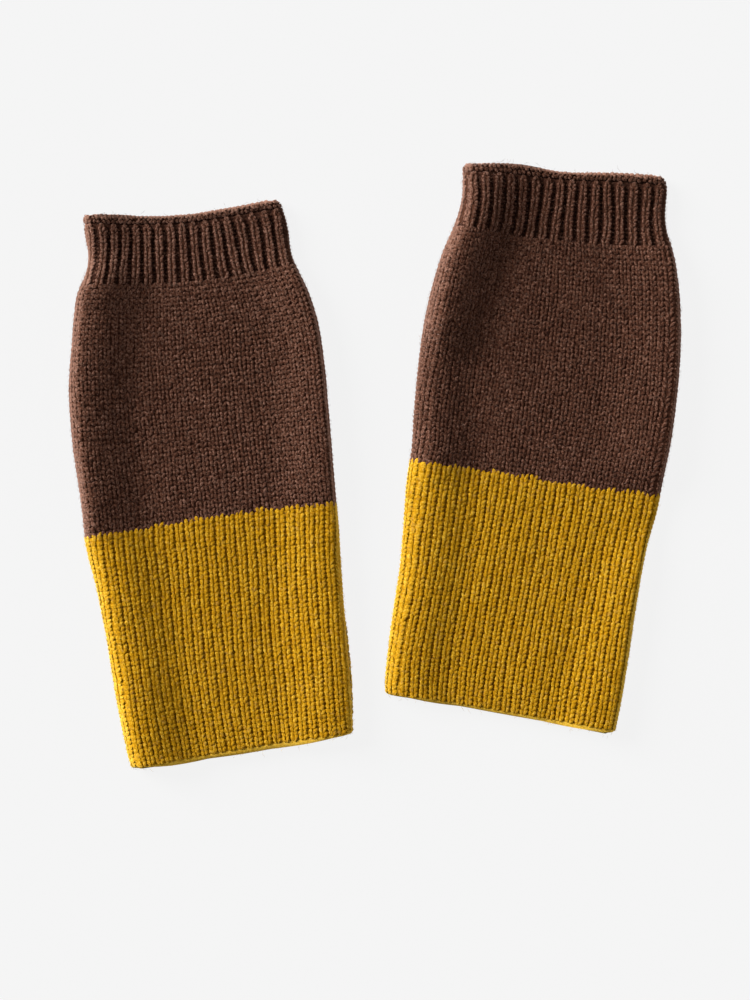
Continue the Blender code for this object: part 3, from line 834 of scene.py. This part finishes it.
def add_piece(name, points, cloth_normals, corners, face_sizes, yarn, values, deep=False, corner_maps=None):
    """Make a piece from points in millimetres and from the corner numbers of its faces.

    cloth_normals gives the way out of the cloth at each point, face_sizes the corners of each face, values a
    number for each point, and corner_maps a UV place for each corner. "turned" is 0 where the cloth lies flat
    and 1 where it stands upright at a side: 1 - |z of the way out|; the materials paint light from it, paler
    towards a side.
    """
    mesh = bpy.data.meshes.new(name)
    mesh.vertices.add(len(points))
    mesh.vertices.foreach_set("co", (points * MM).astype(np.float32).ravel())
    mesh.loops.add(len(corners))
    mesh.loops.foreach_set("vertex_index", corners.astype(np.int32))
    mesh.polygons.add(len(face_sizes))
    starts = np.concatenate(([0], np.cumsum(face_sizes)[:-1]))
    mesh.polygons.foreach_set("loop_start", starts.astype(np.int32))
    for map_name, places in (corner_maps or {}).items():
        layer = mesh.uv_layers.new(name=map_name)
        layer.uv.foreach_set("vector", places.astype(np.float32).ravel())
    values = {**values, "turned": 1.0 - np.abs(cloth_normals[:, 2])}
    for value_name, numbers in values.items():
        attribute = mesh.attributes.new(value_name, "FLOAT", "POINT")
        attribute.data.foreach_set("value", numbers.astype(np.float32))
    mesh.update(calc_edges=True)
    mesh.shade_smooth()
    soften(mesh, cloth_normals, FINISHES[yarn].softness)
    mesh.materials.append(yarn_material(yarn, deep))
    piece = bpy.data.objects.new(name, mesh)
    bpy.context.scene.collection.objects.link(piece)
    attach(piece, "root")
    return piece


def spindle_faces(rings, around):
    """Faces of one spindle: a fan at its first pole, quads between its rings, and a fan at its last pole.

    Returned as corner numbers and face sizes, with the share of the length and of the turn at each corner.
    """
    turn = np.arange(around)
    following = (turn + 1) % around
    last = 1 + rings * around
    fan = np.column_stack((np.zeros(around, int), 1 + turn, 1 + following))
    corners = [fan.ravel()]
    lengths = [np.tile((0.0, 1.0, 1.0), around)]
    turns = [np.column_stack((turn + 0.5, turn, turn + 1)).ravel()]
    for ring in range(rings - 1):
        here = 1 + ring * around
        below = here + around
        quad = np.column_stack((here + turn, below + turn, below + following, here + following))
        corners.append(quad.ravel())
        lengths.append(np.tile((ring + 1.0, ring + 2.0, ring + 2.0, ring + 1.0), around))
        turns.append(np.column_stack((turn, turn, turn + 1, turn + 1)).ravel())
    end = last - around
    fan = np.column_stack((end + turn, np.full(around, last), end + following))
    corners.append(fan.ravel())
    lengths.append(np.tile((rings, rings + 1.0, rings), around))
    turns.append(np.column_stack((turn, turn + 0.5, turn + 1)).ravel())
    face_sizes = np.repeat((3, 4, 3), (around, around * (rings - 1), around))
    return (
        np.concatenate(corners),
        face_sizes,
        np.concatenate(lengths) / (rings + 1),
        np.concatenate(turns) / around,
    )


Strands = namedtuple("Strands", "centre normal half_width half_height tone")
FIRST_CROWN = 0.3         # how high the two poles of a strand count as lying, for its painted shade
LAST_CROWN = 0.1
CELL_MARGIN = 0.07        # free share at each edge of a strand's square in the map


def add_strands(warmer, part, yarn, strands, around):
    """Join many spindles into one piece of a warmer, each with so many faces around.

    A spindle's points are its centre line plus half_width * cos(turn) sideways and half_height * sin(turn)
    out of the cloth, and the two ends of the line are its poles. In the map OFBake each spindle has a square
    of its own, and the map "strand" runs from 0 to 1 along and round every spindle.
    """
    count, points_along = strands.half_width.shape
    rings = points_along - 2
    tangent = unit(np.gradient(strands.centre, axis=1))
    sideways = unit(np.cross(tangent, strands.normal))
    outwards = np.cross(sideways, tangent)
    angle = 2 * math.pi * np.arange(around) / around
    over = strands.half_width[:, 1:-1, None, None] * np.cos(angle)[:, None] * sideways[:, 1:-1, None]
    out = strands.half_height[:, 1:-1, None, None] * np.sin(angle)[:, None] * outwards[:, 1:-1, None]
    ring_points = (strands.centre[:, 1:-1, None] + over + out).reshape(count, rings * around, 3)
    points = np.concatenate((strands.centre[:, :1], ring_points, strands.centre[:, -1:]), axis=1)
    points[..., 2] = np.maximum(points[..., 2], FLOOR_GAP)

    # Painted shade: each ring of a strand is coloured darker towards the cloth, and so are its poles.
    crown = np.concatenate(([FIRST_CROWN], np.tile(0.5 + 0.5 * np.sin(angle), rings), [LAST_CROWN]))
    corners, face_sizes, lengths, turns = spindle_faces(rings, around)
    per_spindle = 2 + rings * around
    cloth_normals = np.repeat(strands.normal, [1] + [around] * rings + [1], axis=1)
    cells = math.ceil(math.sqrt(count))
    cell = np.column_stack((np.arange(count) % cells, np.arange(count) // cells))[:, None]
    local = np.column_stack((lengths, turns))
    squares = cell + CELL_MARGIN + (1 - 2 * CELL_MARGIN) * local
    add_piece(
        part_name(warmer, part),
        points.reshape(-1, 3),
        cloth_normals.reshape(-1, 3),
        (corners + per_spindle * np.arange(count)[:, None]).ravel(),
        np.tile(face_sizes, count),
        yarn,
        values={"tone": np.repeat(strands.tone, per_spindle), "crown": np.tile(crown, count)},
        corner_maps={
            "OFBake": (squares / cells).reshape(-1, 2),
            "strand": np.tile(local, (count, 1)),
        },
    )


def tube_faces(rows, columns):
    """Quads of a tube's outer and inner skin and of its two open ends."""
    skin = np.arange(rows * columns).reshape(rows, columns)
    inner = skin + rows * columns
    step = np.roll(skin, -1, axis=1)
    inner_step = np.roll(inner, -1, axis=1)
    outside = np.stack((skin[:-1], skin[1:], step[1:], step[:-1]), axis=-1)
    inside = np.stack((inner[:-1], inner_step[:-1], inner_step[1:], inner[1:]), axis=-1)
    top = np.stack((skin[0], step[0], inner_step[0], inner[0]), axis=-1)
    foot = np.stack((skin[-1], inner[-1], inner_step[-1], step[-1]), axis=-1)
    return np.concatenate([part.reshape(-1, 4) for part in (outside, inside, top, foot)])


END_INSET = 0.5           # how far the base cloth stays in from the two open ends of a warmer
BASE_CROWNS = {"rim": 0.2, "body": 0.5, "hem": 0.7}     # how pale the base cloth's painted shade is where there are no ribs
CLOTH_RINGS = {"rim": 9, "cuff": 8, "body": 26, "band": 24, "hem": 5}
RIB_POINTS = {"cuff": 6, "band": 4}     # points of the base cloth to a rib
PLAIN_POINTS = 72         # points over the front where there are no ribs
CROWN_POWER = 3           # the higher, the narrower the pale crown of a rib and the wider the painted shade in its valleys


def cloth_places(stretch):
    """Places of the base cloth's points round the tube: evenly spaced, a rib's first in its valley."""
    if stretch.rib > 0.0:
        points = RIB_POINTS[stretch.name]
        return np.arange(round(2 * stretch.wales) * points) / (points * stretch.wales)
    return np.arange(2 * PLAIN_POINTS) / PLAIN_POINTS


def base_cloth_skin(warmer, stretch, step, even):
    """Points of the base cloth outside and inside, each with the way out of the cloth.

    Its outside is the tube's own outside plus the swell of the ribs, less the depth of the stitches, and its
    inside is the hollow of the flattened tube.
    """
    along, place = lie(warmer, stretch, step, even)
    along += END_INSET * (1.0 - step) * (stretch.upper == "rim_end")
    along -= END_INSET * step * (stretch.lower == "hem_end")
    point, normal = cloth_frame(warmer, along, place)
    shading = cloth_frame(warmer, along, place, edge_slope(stretch, step))[1]
    flat = pressed(normal)
    depth = SIDE_SHELL_DEPTH + (SHELL_DEPTH - SIDE_SHELL_DEPTH) * from_side(even, SIDE_SHARE)
    lift = swell(stretch, step, even) * (1.0 - flat) - depth + UNDERSIDE_RISE * flat
    outside = point + lift[..., None] * normal
    outside[..., 2] = np.maximum(outside[..., 2], FLOOR_GAP)
    inside = tube_points(warmer, along, place, WALL)
    points = np.concatenate((outside.reshape(-1, 3), inside.reshape(-1, 3)))
    return points, np.concatenate((shading.reshape(-1, 3), -normal.reshape(-1, 3)))


def add_base_cloth(warmer, stretch):
    """The base cloth of one stretch: a closed tube wall under its stitches, with painted shade in its ribs'
    valleys.
    """
    rows = CLOTH_RINGS[stretch.name]
    places = cloth_places(stretch)
    step, even = np.meshgrid(np.linspace(0.0, 1.0, rows), places, indexing="ij")
    points, normals = base_cloth_skin(warmer, stretch, step, even)
    quads = tube_faces(rows, len(places))
    # Painted shade of the base cloth: darkest in the ribs' valleys, even where there are no ribs, and fading
    # out towards each side.
    if stretch.rib > 0.0:
        crown = rib_crown(stretch, even) ** CROWN_POWER
    else:
        crown = np.full(even.shape, BASE_CROWNS[stretch.name])
    crown = np.tile((1.0 - (1.0 - crown) * from_side(even, SIDE_SHARE)).ravel(), 2)
    name = part_name(warmer, stretch.name)
    values = {"crown": crown, "tone": np.full(len(crown), warmer["tones"][stretch.name])}
    piece = add_piece(
        f"{name}_cloth", points, normals, quads.ravel(), np.full(len(quads), 4), stretch.yarn, values,
        deep=stretch.name != "hem",
    )
    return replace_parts(piece, name)


# ---- Stitches ----

# One point of the line that a strand follows: across in shares of a column, down in courses, lift in
# millimetres out of the cloth. girth is the strand's thickness there, as a share of the yarn's.
LegPoint = namedtuple("LegPoint", "across down lift girth")
# How much the stitches differ: across and slant in columns, down and length in courses, lift in millimetres
# and girth as a share.
Jitter = namedtuple("Jitter", "across down length slant girth lift")

CUFF_START = 0.25         # courses by which the cuff's stitches reach up under the rim
CUFF_GATHER = 1.4         # courses over which they spread out from the middle of their rib
GATHER_START = 0.3        # how far along in that spreading they are at the top line
BAND_START = (0.1, 0.8)   # least and most that the band's first stitches are drawn in from the colour change
SIDE_CALM = 0.35          # share of their unevenness that the stitches keep at a side itself
# Painted shade: how much darker the bars in the grooves between ribs are coloured.
CUFF_GROOVE_PAINTED_SHADE = -4.0
BAND_GROOVE_PAINTED_SHADE = -3.0
STITCH_SIDES = 6          # faces round one strand
CUFF_BAR_SIDES = 5
BAND_BAR_SIDES = 4
UNDER_SIDES = 4
FIBRE_SIDES = 3
PLAIN_JITTER = Jitter(0.032, 0.075, 0.09, 0.11, 0.10, 0.055)
RIB_JITTER = Jitter(0.022, 0.08, 0.08, 0.05, 0.10, 0.06)
CUFF_JITTER = Jitter(0.022, 0.09, 0.08, 0.07, 0.12, 0.06)
RIM_JITTER = Jitter(0.10, 0.10, 0.12, 0.10, 0.14, 0.09)
EDGE_JITTER = Jitter(0.06, 0.03, 0.08, 0.03, 0.10, 0.04)
HEIGHT_SHARE = 0.46       # a strand's height as a share of its width

PLAIN_LEG = (
    LegPoint(0.05, 0.65, -0.46, 0.0),
    LegPoint(0.14, 0.35, -0.26, 0.82),
    LegPoint(0.25, 0.02, -0.20, 1.0),
    LegPoint(0.34, -0.31, -0.34, 0.82),
    LegPoint(0.36, -0.59, -0.78, 0.0),
)
BAND_LEFT_LEG = (
    LegPoint(-0.12, 0.74, -0.42, 0.0),
    LegPoint(-0.175, 0.39, -0.22, 0.82),
    LegPoint(-0.235, 0.0, -0.14, 0.98),
    LegPoint(-0.28, -0.38, -0.28, 0.84),
    LegPoint(-0.30, -0.72, -0.56, 0.0),
)
BAND_RIGHT_LEG = (
    LegPoint(0.03, 0.78, -0.42, 0.0),
    LegPoint(0.12, 0.42, -0.22, 0.76),
    LegPoint(0.22, 0.03, -0.12, 0.90),
    LegPoint(0.31, -0.38, -0.26, 0.76),
    LegPoint(0.38, -0.74, -0.56, 0.0),
)
# A bar of the band is broader than the cuff's and lies nearer to the top of the groove.
BAND_BAR = (
    LegPoint(-0.28, 0.34, -0.86, 0.0),
    LegPoint(-0.09, 0.04, -0.66, 1.42),
    LegPoint(0.09, -0.10, -0.66, 1.42),
    LegPoint(0.28, -0.30, -0.86, 0.0),
)
CUFF_LEFT_LEG = (
    LegPoint(-0.10, 0.70, -0.48, 0.0),
    LegPoint(-0.14, 0.38, -0.28, 0.80),
    LegPoint(-0.18, 0.02, -0.16, 1.0),
    LegPoint(-0.22, -0.33, -0.32, 0.82),
    LegPoint(-0.23, -0.64, -0.76, 0.0),
)
CUFF_RIGHT_LEG = (
    LegPoint(0.07, 0.70, -0.48, 0.0),
    LegPoint(0.12, 0.38, -0.28, 0.80),
    LegPoint(0.18, 0.02, -0.16, 1.0),
    LegPoint(0.235, -0.33, -0.32, 0.82),
    LegPoint(0.25, -0.64, -0.76, 0.0),
)
# A purl bar lies across the bottom of the groove between two ribs.
PURL_BAR = (
    LegPoint(-0.24, 0.16, -1.0, 0.0),
    LegPoint(-0.10, -0.06, -0.88, 0.84),
    LegPoint(0.10, -0.10, -0.88, 0.84),
    LegPoint(0.24, 0.06, -1.0, 0.0),
)
# On the underside a leg is a plain short spindle.
UNDER_LEG = (
    LegPoint(0.10, 0.72, -0.85, 0.0),
    LegPoint(0.19, 0.30, -0.45, 1.0),
    LegPoint(0.29, -0.30, -0.50, 1.0),
    LegPoint(0.27, -0.72, -0.95, 0.0),
)
# The strands along the very edge of the rim overlap.
RIM_EDGE = (
    LegPoint(-0.72, 0.24, -0.95, 0.0),
    LegPoint(-0.28, 0.06, -0.20, 0.74),
    LegPoint(0.28, 0.0, -0.16, 0.78),
    LegPoint(0.72, 0.08, -0.95, 0.0),
)
# A knob of the rolled rim leans over to one side.
RIM_KNOB = (
    LegPoint(0.30, 0.66, -0.85, 0.0),
    LegPoint(0.14, 0.26, -0.18, 0.72),
    LegPoint(-0.14, -0.24, -0.16, 0.76),
    LegPoint(-0.30, -0.64, -0.85, 0.0),
)
# The rows of a rim: the leg, how many courses down its middle lies, how pale it is, and how much it varies.
# The paleness is painted light on the edge row, which catches the light, and painted shade on the lowest row
# of knobs, under the roll.
RIM_ROWS = (
    (RIM_EDGE, 0.36, 2.6, EDGE_JITTER),
    (RIM_KNOB, 1.05, 0.0, RIM_JITTER),
    (RIM_KNOB, 2.15, -2.0, RIM_JITTER),
)


def grid(columns, rows):
    """Column and row middles of every stitch, from the first to before the last of each."""
    column, row = np.meshgrid(np.arange(*columns), np.arange(*rows), indexing="ij")
    return column.ravel() + 0.5, row.ravel() + 0.5


def lay_legs(warmer, stretch, leg, column, row, width, jitter, noise, mirror=1.0, pale=0.0, gather=0.0):
    """Lay a leg at each given column and row, as it is drawn, or mirrored where mirror is -1.

    pale is added to the tone of the stitches, as painted light above 0 and painted shade below it. gather is
    the number of courses at the top of the stretch over which the legs of a column spread out from its
    middle.
    """
    shape = LegPoint(*np.array(leg).T)
    count = len(column)
    calm = from_side(column / stretch.wales, SIDE_SHARE)
    draws = noise.normal(size=(6, count, 1)) * (SIDE_CALM + (1.0 - SIDE_CALM) * calm)[:, None]
    across_draw, down_draw, reach_draw, slant_draw, girth_draw, lift_draw = draws
    tone = warmer["tones"][stretch.name] + pale + noise.normal(size=count)
    across = mirror * shape.across + jitter.across * across_draw + jitter.slant * slant_draw * shape.down
    down = shape.down * (1.0 + jitter.length * reach_draw) + jitter.down * down_draw
    if gather:
        across = across * ease((row[:, None] + down) / gather + GATHER_START)
    step = (row[:, None] + down) / stretch.rows
    even = (column[:, None] + across) / stretch.wales
    along, place = lie(warmer, stretch, step, even)
    point, normal = cloth_frame(warmer, along, place, edge_slope(stretch, step))
    flat = pressed(normal)
    standing = swell(stretch, np.clip(step, 0.0, 1.0), even)
    lift = shape.lift + jitter.lift * lift_draw + standing * (1.0 - flat) - UNDERSIDE_SINK * flat
    half_height = HEIGHT_SHARE * 0.5 * width / MM * shape.girth * (1.0 + jitter.girth * girth_draw)
    half_width = half_height / HEIGHT_SHARE * cloth_spread(warmer, along, place)
    return Strands(point + lift[..., None] * normal, normal, half_width, half_height, tone)


def joined(*batches):
    return Strands(*[np.concatenate(parts) for parts in zip(*batches)])


def front_columns(stretch):
    """Columns that show from above: those over the front and one more round each side."""
    return -1, math.ceil(stretch.wales) + 1


def underside_columns(stretch):
    return math.ceil(stretch.wales) + 1, round(2 * stretch.wales) - 1


def mirrored_legs(warmer, stretch, leg, column, row, width, noise):
    """The left and the right leg of each plain stitch."""
    return joined(*[
        lay_legs(warmer, stretch, leg, column, row, width, PLAIN_JITTER, noise, mirror)
        for mirror in (-1.0, 1.0)
    ])


def add_underside(warmer, stretch, width, noise):
    """The pressed stitches of the underside."""
    column, row = grid(underside_columns(stretch), (0, stretch.rows))
    legs = mirrored_legs(warmer, stretch, UNDER_LEG, column, row, width, noise)
    add_strands(warmer, f"{stretch.name}_underside", stretch.yarn, legs, UNDER_SIDES)


def noise_for(warmer, number):
    """Random numbers of their own for each kind of piece, from the seed 1000 * warmer's seed + number."""
    return np.random.default_rng(1000 * warmer["seed"] + number)


def add_cuff(warmer, width):
    noise = noise_for(warmer, 1)
    column, row = grid(front_columns(CUFF), (0, CUFF.rows + 1))
    end = row > CUFF.rows
    row = row - CUFF_START - end * noise.uniform(0.0, 1.0, size=len(row))
    legs = [
        lay_legs(warmer, CUFF, leg, column, row, width, CUFF_JITTER, noise, gather=CUFF_GATHER)
        for leg in (CUFF_LEFT_LEG, CUFF_RIGHT_LEG)
    ]
    add_strands(warmer, "cuff_ribs", "brown", joined(*legs), STITCH_SIDES)
    bars = lay_legs(warmer, CUFF, PURL_BAR, column + 0.5, row, width, PLAIN_JITTER, noise, pale=CUFF_GROOVE_PAINTED_SHADE)
    add_strands(warmer, "cuff_grooves", "brown", bars, CUFF_BAR_SIDES)
    add_underside(warmer, CUFF, width, noise)


def add_plain(warmer, width):
    noise = noise_for(warmer, 2)
    column, row = grid(front_columns(PLAIN), (0, PLAIN.rows))
    legs = mirrored_legs(warmer, PLAIN, PLAIN_LEG, column, row, width, noise)
    add_strands(warmer, "body_stitches", "brown", legs, STITCH_SIDES)
    add_underside(warmer, PLAIN, width, noise)


def add_band(warmer, width):
    noise = noise_for(warmer, 3)
    column, row = grid(front_columns(BAND), (-1, BAND.rows))
    first = row < 0.0
    row = row + first * noise.uniform(*BAND_START, size=len(row))
    legs = [
        lay_legs(warmer, BAND, leg, column, row, width, RIB_JITTER, noise)
        for leg in (BAND_LEFT_LEG, BAND_RIGHT_LEG)
    ]
    add_strands(warmer, "band_ribs", "mustard", joined(*legs), STITCH_SIDES)
    column, row = column[~first], row[~first]
    bars = lay_legs(warmer, BAND, BAND_BAR, column + 0.5, row, width, PLAIN_JITTER, noise, pale=BAND_GROOVE_PAINTED_SHADE)
    add_strands(warmer, "band_grooves", "mustard", bars, BAND_BAR_SIDES)
    add_underside(warmer, BAND, width, noise)


def add_rim(warmer, width):
    """The rolled rim all round the tube: strands along its edge, and two rows of knobs in brick order."""
    noise = noise_for(warmer, 4)
    column = np.arange(round(2 * RIM.wales)) + 0.5
    rows = []
    for number, (leg, courses_down, pale, jitter) in enumerate(RIM_ROWS):
        row = np.full(len(column), courses_down)
        rows.append(lay_legs(warmer, RIM, leg, column + 0.5 * number, row, width, jitter, noise, pale=pale))
    add_strands(warmer, "rim_knobs", "brown", joined(*rows), STITCH_SIDES)


# A fuzz of one yarn lies from its first stretch to its last, has its share of a warmer's fibres, and draws
# from the random numbers of its own number.
Fuzz = namedtuple("Fuzz", "yarn first last share number")
FUZZES = (Fuzz("brown", RIM, PLAIN, 0.55, 6), Fuzz("mustard", BAND, HEM, 0.45, 7))
FIBRE_OVERHANG = 0.02     # places beyond each side
FIBRE_LENGTHS = (0.5, 1.6)      # shortest and longest, as shares of the mean length
FIBRE_BEND = 0.8          # radians
FIBRE_SPREAD = 2.0        # how evenly the fibres' heights differ, as the shape of a gamma distribution
FIBRE_RISE = 0.16
FIBRE_FOOT = 0.25         # how far below the stitches a fibre starts
FIBRE_MIDDLE = 0.25       # how far above them its middle and its tip lie at least
FIBRE_TIP = 0.15
FIBRE_TONE = 1.2


def add_fuzz(warmer, fuzz, size):
    """Loose fibres: bent spikes that leave the stitches in every direction.

    Each fibre starts under the stitches, runs off at a random heading over the cloth and rises by a random
    height; its tip bends away from the heading.
    """
    noise = noise_for(warmer, fuzz.number)
    count = int(size.fuzz_count * fuzz.share)
    step = noise.uniform(size=count)
    place = noise.uniform(-FIBRE_OVERHANG, 1.0 + FIBRE_OVERHANG, size=count)
    along = between_lines(warmer, fuzz.first.upper, fuzz.last.lower, step, place)
    heading = noise.uniform(0.0, 2 * math.pi, size=count)
    bend = heading + noise.normal(size=count) * FIBRE_BEND
    reach = size.fuzz_length / MM * noise.uniform(*FIBRE_LENGTHS, size=count) / 2
    rise = noise.gamma(FIBRE_SPREAD, FIBRE_RISE, size=count)
    still = np.zeros(count)
    over, down = (
        np.column_stack((still, reach * part(heading), reach * (part(heading) + part(bend))))
        for part in (np.cos, np.sin)
    )
    left, right = sides(warmer, along, share_across(place))
    fibre_place = place[:, None] + over / (right - left)[:, None]
    point, normal = cloth_frame(warmer, along[:, None] + down, fibre_place)
    lift = np.column_stack((still - FIBRE_FOOT, FIBRE_MIDDLE + 0.5 * rise, FIBRE_TIP + rise))
    half_width = np.repeat([[0.0, 0.5 * size.fuzz_width / MM, 0.0]], count, axis=0)
    tone = noise.normal(size=count) + FIBRE_TONE
    fibres = Strands(point + lift[..., None] * normal, normal, half_width, half_width, tone)
    add_strands(warmer, f"{fuzz.yarn}_fuzz", fuzz.yarn, fibres, FIBRE_SIDES)


# ---- Operators ----


# The pieces that go with each sheet of cloth
SHEETS = (
    (CUFF, ("rim_cloth", "rim_knobs", "cuff_ribs", "cuff_grooves", "cuff_underside")),
    (PLAIN, ("body_stitches", "body_underside", "brown_fuzz")),
    (BAND, ("band_ribs", "band_grooves", "band_underside", "hem_cloth", "mustard_fuzz")),
)
OUTLINE_POINTS = 400


def declare_sheet(warmer, stretch):
    """Work out the way round one stretch of the tube at its middle; it is not used further."""
    place = np.linspace(0.0, 2.0, OUTLINE_POINTS)
    outline = tube_points(warmer, stretch_along(warmer, stretch, 0.5, place), place)


def make_pair(add, width):
    """Make a kind of piece for both warmers, from yarn of this width."""
    for warmer in WARMERS:
        add(warmer, width)
    return {"FINISHED"}


class ARMWARMERS_OT_cloth(Operator):
    """Lay the base cloth of every stretch of both warmers"""

    bl_idname = "armwarmers.cloth"
    bl_label = "Lay the base cloth"

    def execute(self, context):
        for warmer in WARMERS:
            for stretch in STRETCHES:
                add_base_cloth(warmer, stretch)
        return {"FINISHED"}


class ARMWARMERS_OT_rims(Operator):
    """Knit the rolled rims"""

    bl_idname = "armwarmers.rims"
    bl_label = "Knit the rims"

    def execute(self, context):
        return make_pair(add_rim, sizes().rim_yarn)


class ARMWARMERS_OT_cuffs(Operator):
    """Knit the ribbed cuffs"""

    bl_idname = "armwarmers.cuffs"
    bl_label = "Knit the cuffs"

    def execute(self, context):
        return make_pair(add_cuff, sizes().cuff_yarn)


class ARMWARMERS_OT_bodies(Operator):
    """Knit the plain brown bodies"""

    bl_idname = "armwarmers.bodies"
    bl_label = "Knit the bodies"

    def execute(self, context):
        return make_pair(add_plain, sizes().plain_yarn)


class ARMWARMERS_OT_bands(Operator):
    """Knit the ribbed mustard bands"""

    bl_idname = "armwarmers.bands"
    bl_label = "Knit the bands"

    def execute(self, context):
        return make_pair(add_band, sizes().band_yarn)


class ARMWARMERS_OT_fuzz(Operator):
    """Raise the loose fibres of the wool, and work out the way round each stretch of cloth"""

    bl_idname = "armwarmers.fuzz"
    bl_label = "Raise the fuzz"

    def execute(self, context):
        for warmer in WARMERS:
            for fuzz in FUZZES:
                add_fuzz(warmer, fuzz, sizes())
            for stretch, going_with in SHEETS:
                declare_sheet(warmer, stretch)
        return {"FINISHED"}


FLOOR_HALF = 3.0          # metres from the floor's middle to its sides
KEY_DIRECTION = (0.82, -0.46, -0.34)
KEY_ANGLE = 35.0          # degrees of sky that the light comes from
REFLECTOR_DIRECTION = (-0.97, 0.10, -0.20)
REFLECTOR_ANGLE = 60.0
CAMERA_X = 0.00009
CAMERA_Y = -0.01356
MIDDLE_HEIGHT = 0.005     # height above the floor at which the view height is measured
SENSOR = 36.0             # millimetres
CLIP_START = 0.1          # metres from the lens between which things show
CLIP_END = 20.0


def floor_material():
    """A plain pale floor that glows a little, as a lit table does."""
    material, _, shader = new_material("pale_floor")
    set_inputs(shader, {
        "Base Color": (*colours().floor, 1.0),
        "Roughness": 1.0,
        "Specular IOR Level": 0.0,
        "Emission Color": (1.0, 1.0, 1.0, 1.0),
        "Emission Strength": bpy.context.scene.studio_sizes.glow,
    })
    return material


def add_floor():
    mesh = bpy.data.meshes.new("floor")
    corners = [(x * FLOOR_HALF, y * FLOOR_HALF, 0.0) for x, y in ((-1, -1), (1, -1), (1, 1), (-1, 1))]
    mesh.from_pydata(corners, [], [(0, 1, 2, 3)])
    mesh.materials.append(floor_material())
    floor = bpy.data.objects.new("floor", mesh)
    bpy.context.scene.collection.objects.link(floor)


def add_light(name, direction, strength, angle):
    """A soft light from far away that shines along a direction."""
    light = bpy.data.lights.new(name, "SUN")
    light.energy = strength
    light.angle = math.radians(angle)
    lamp = bpy.data.objects.new(name, light)
    lamp.rotation_euler = Vector(direction).to_track_quat("-Z", "Y").to_euler()
    bpy.context.scene.collection.objects.link(lamp)


class ARMWARMERS_OT_stage(Operator):
    """Set the floor, the lights and the camera"""

    bl_idname = "armwarmers.stage"
    bl_label = "Set the stage"

    def execute(self, context):
        scene = context.scene
        studio = scene.studio_sizes
        add_floor()
        world = bpy.data.worlds.new("studio")
        world.use_nodes = True
        surround = world.node_tree.nodes["Background"]
        set_inputs(surround, {"Color": (1.0, 1.0, 1.0, 1.0), "Strength": studio.fill})
        scene.world = world
        add_light("key_light", KEY_DIRECTION, studio.key, KEY_ANGLE)
        add_light("reflector", REFLECTOR_DIRECTION, studio.reflector, REFLECTOR_ANGLE)

        data = bpy.data.cameras.new("camera")
        data.sensor_fit = "AUTO"
        data.sensor_width = SENSOR
        data.lens = SENSOR * (studio.camera_height - MIDDLE_HEIGHT) / studio.view_height
        data.clip_start = CLIP_START
        data.clip_end = CLIP_END
        camera = bpy.data.objects.new("camera", data)
        camera.location = (CAMERA_X, CAMERA_Y, studio.camera_height)
        scene.collection.objects.link(camera)
        scene.camera = camera
        scene.view_settings.view_transform = "Standard"
        return {"FINISHED"}


MAKING_ORDER = ("cloth", "rims", "cuffs", "bodies", "bands", "fuzz", "stage")


class ARMWARMERS_PT_panel(Panel):
    """Settings and steps of the arm warmers"""

    bl_idname = "ARMWARMERS_PT_panel"
    bl_label = "Arm warmers"
    bl_space_type = "VIEW_3D"
    bl_region_type = "UI"
    bl_category = "Arm warmers"

    def draw(self, context):
        for settings in (context.scene.knit_sizes, context.scene.yarn_colours, context.scene.studio_sizes):
            box = self.layout.box()
            for name in settings.__annotations__:
                box.prop(settings, name)
        for step in MAKING_ORDER:
            self.layout.operator(f"armwarmers.{step}")


CLASSES = (
    KnitSizes,
    YarnColours,
    StudioSizes,
    ARMWARMERS_OT_cloth,
    ARMWARMERS_OT_rims,
    ARMWARMERS_OT_cuffs,
    ARMWARMERS_OT_bodies,
    ARMWARMERS_OT_bands,
    ARMWARMERS_OT_fuzz,
    ARMWARMERS_OT_stage,
    ARMWARMERS_PT_panel,
)


def register():
    for kind in CLASSES:
        bpy.utils.register_class(kind)
    bpy.types.Scene.knit_sizes = PointerProperty(type=KnitSizes)
    bpy.types.Scene.yarn_colours = PointerProperty(type=YarnColours)
    bpy.types.Scene.studio_sizes = PointerProperty(type=StudioSizes)


def unregister():
    del bpy.types.Scene.studio_sizes
    del bpy.types.Scene.yarn_colours
    del bpy.types.Scene.knit_sizes
    for kind in reversed(CLASSES):
        bpy.utils.unregister_class(kind)


def main():
    register()
    for step in MAKING_ORDER:
        getattr(bpy.ops.armwarmers, step)()


if __name__ == "__main__":
    main()
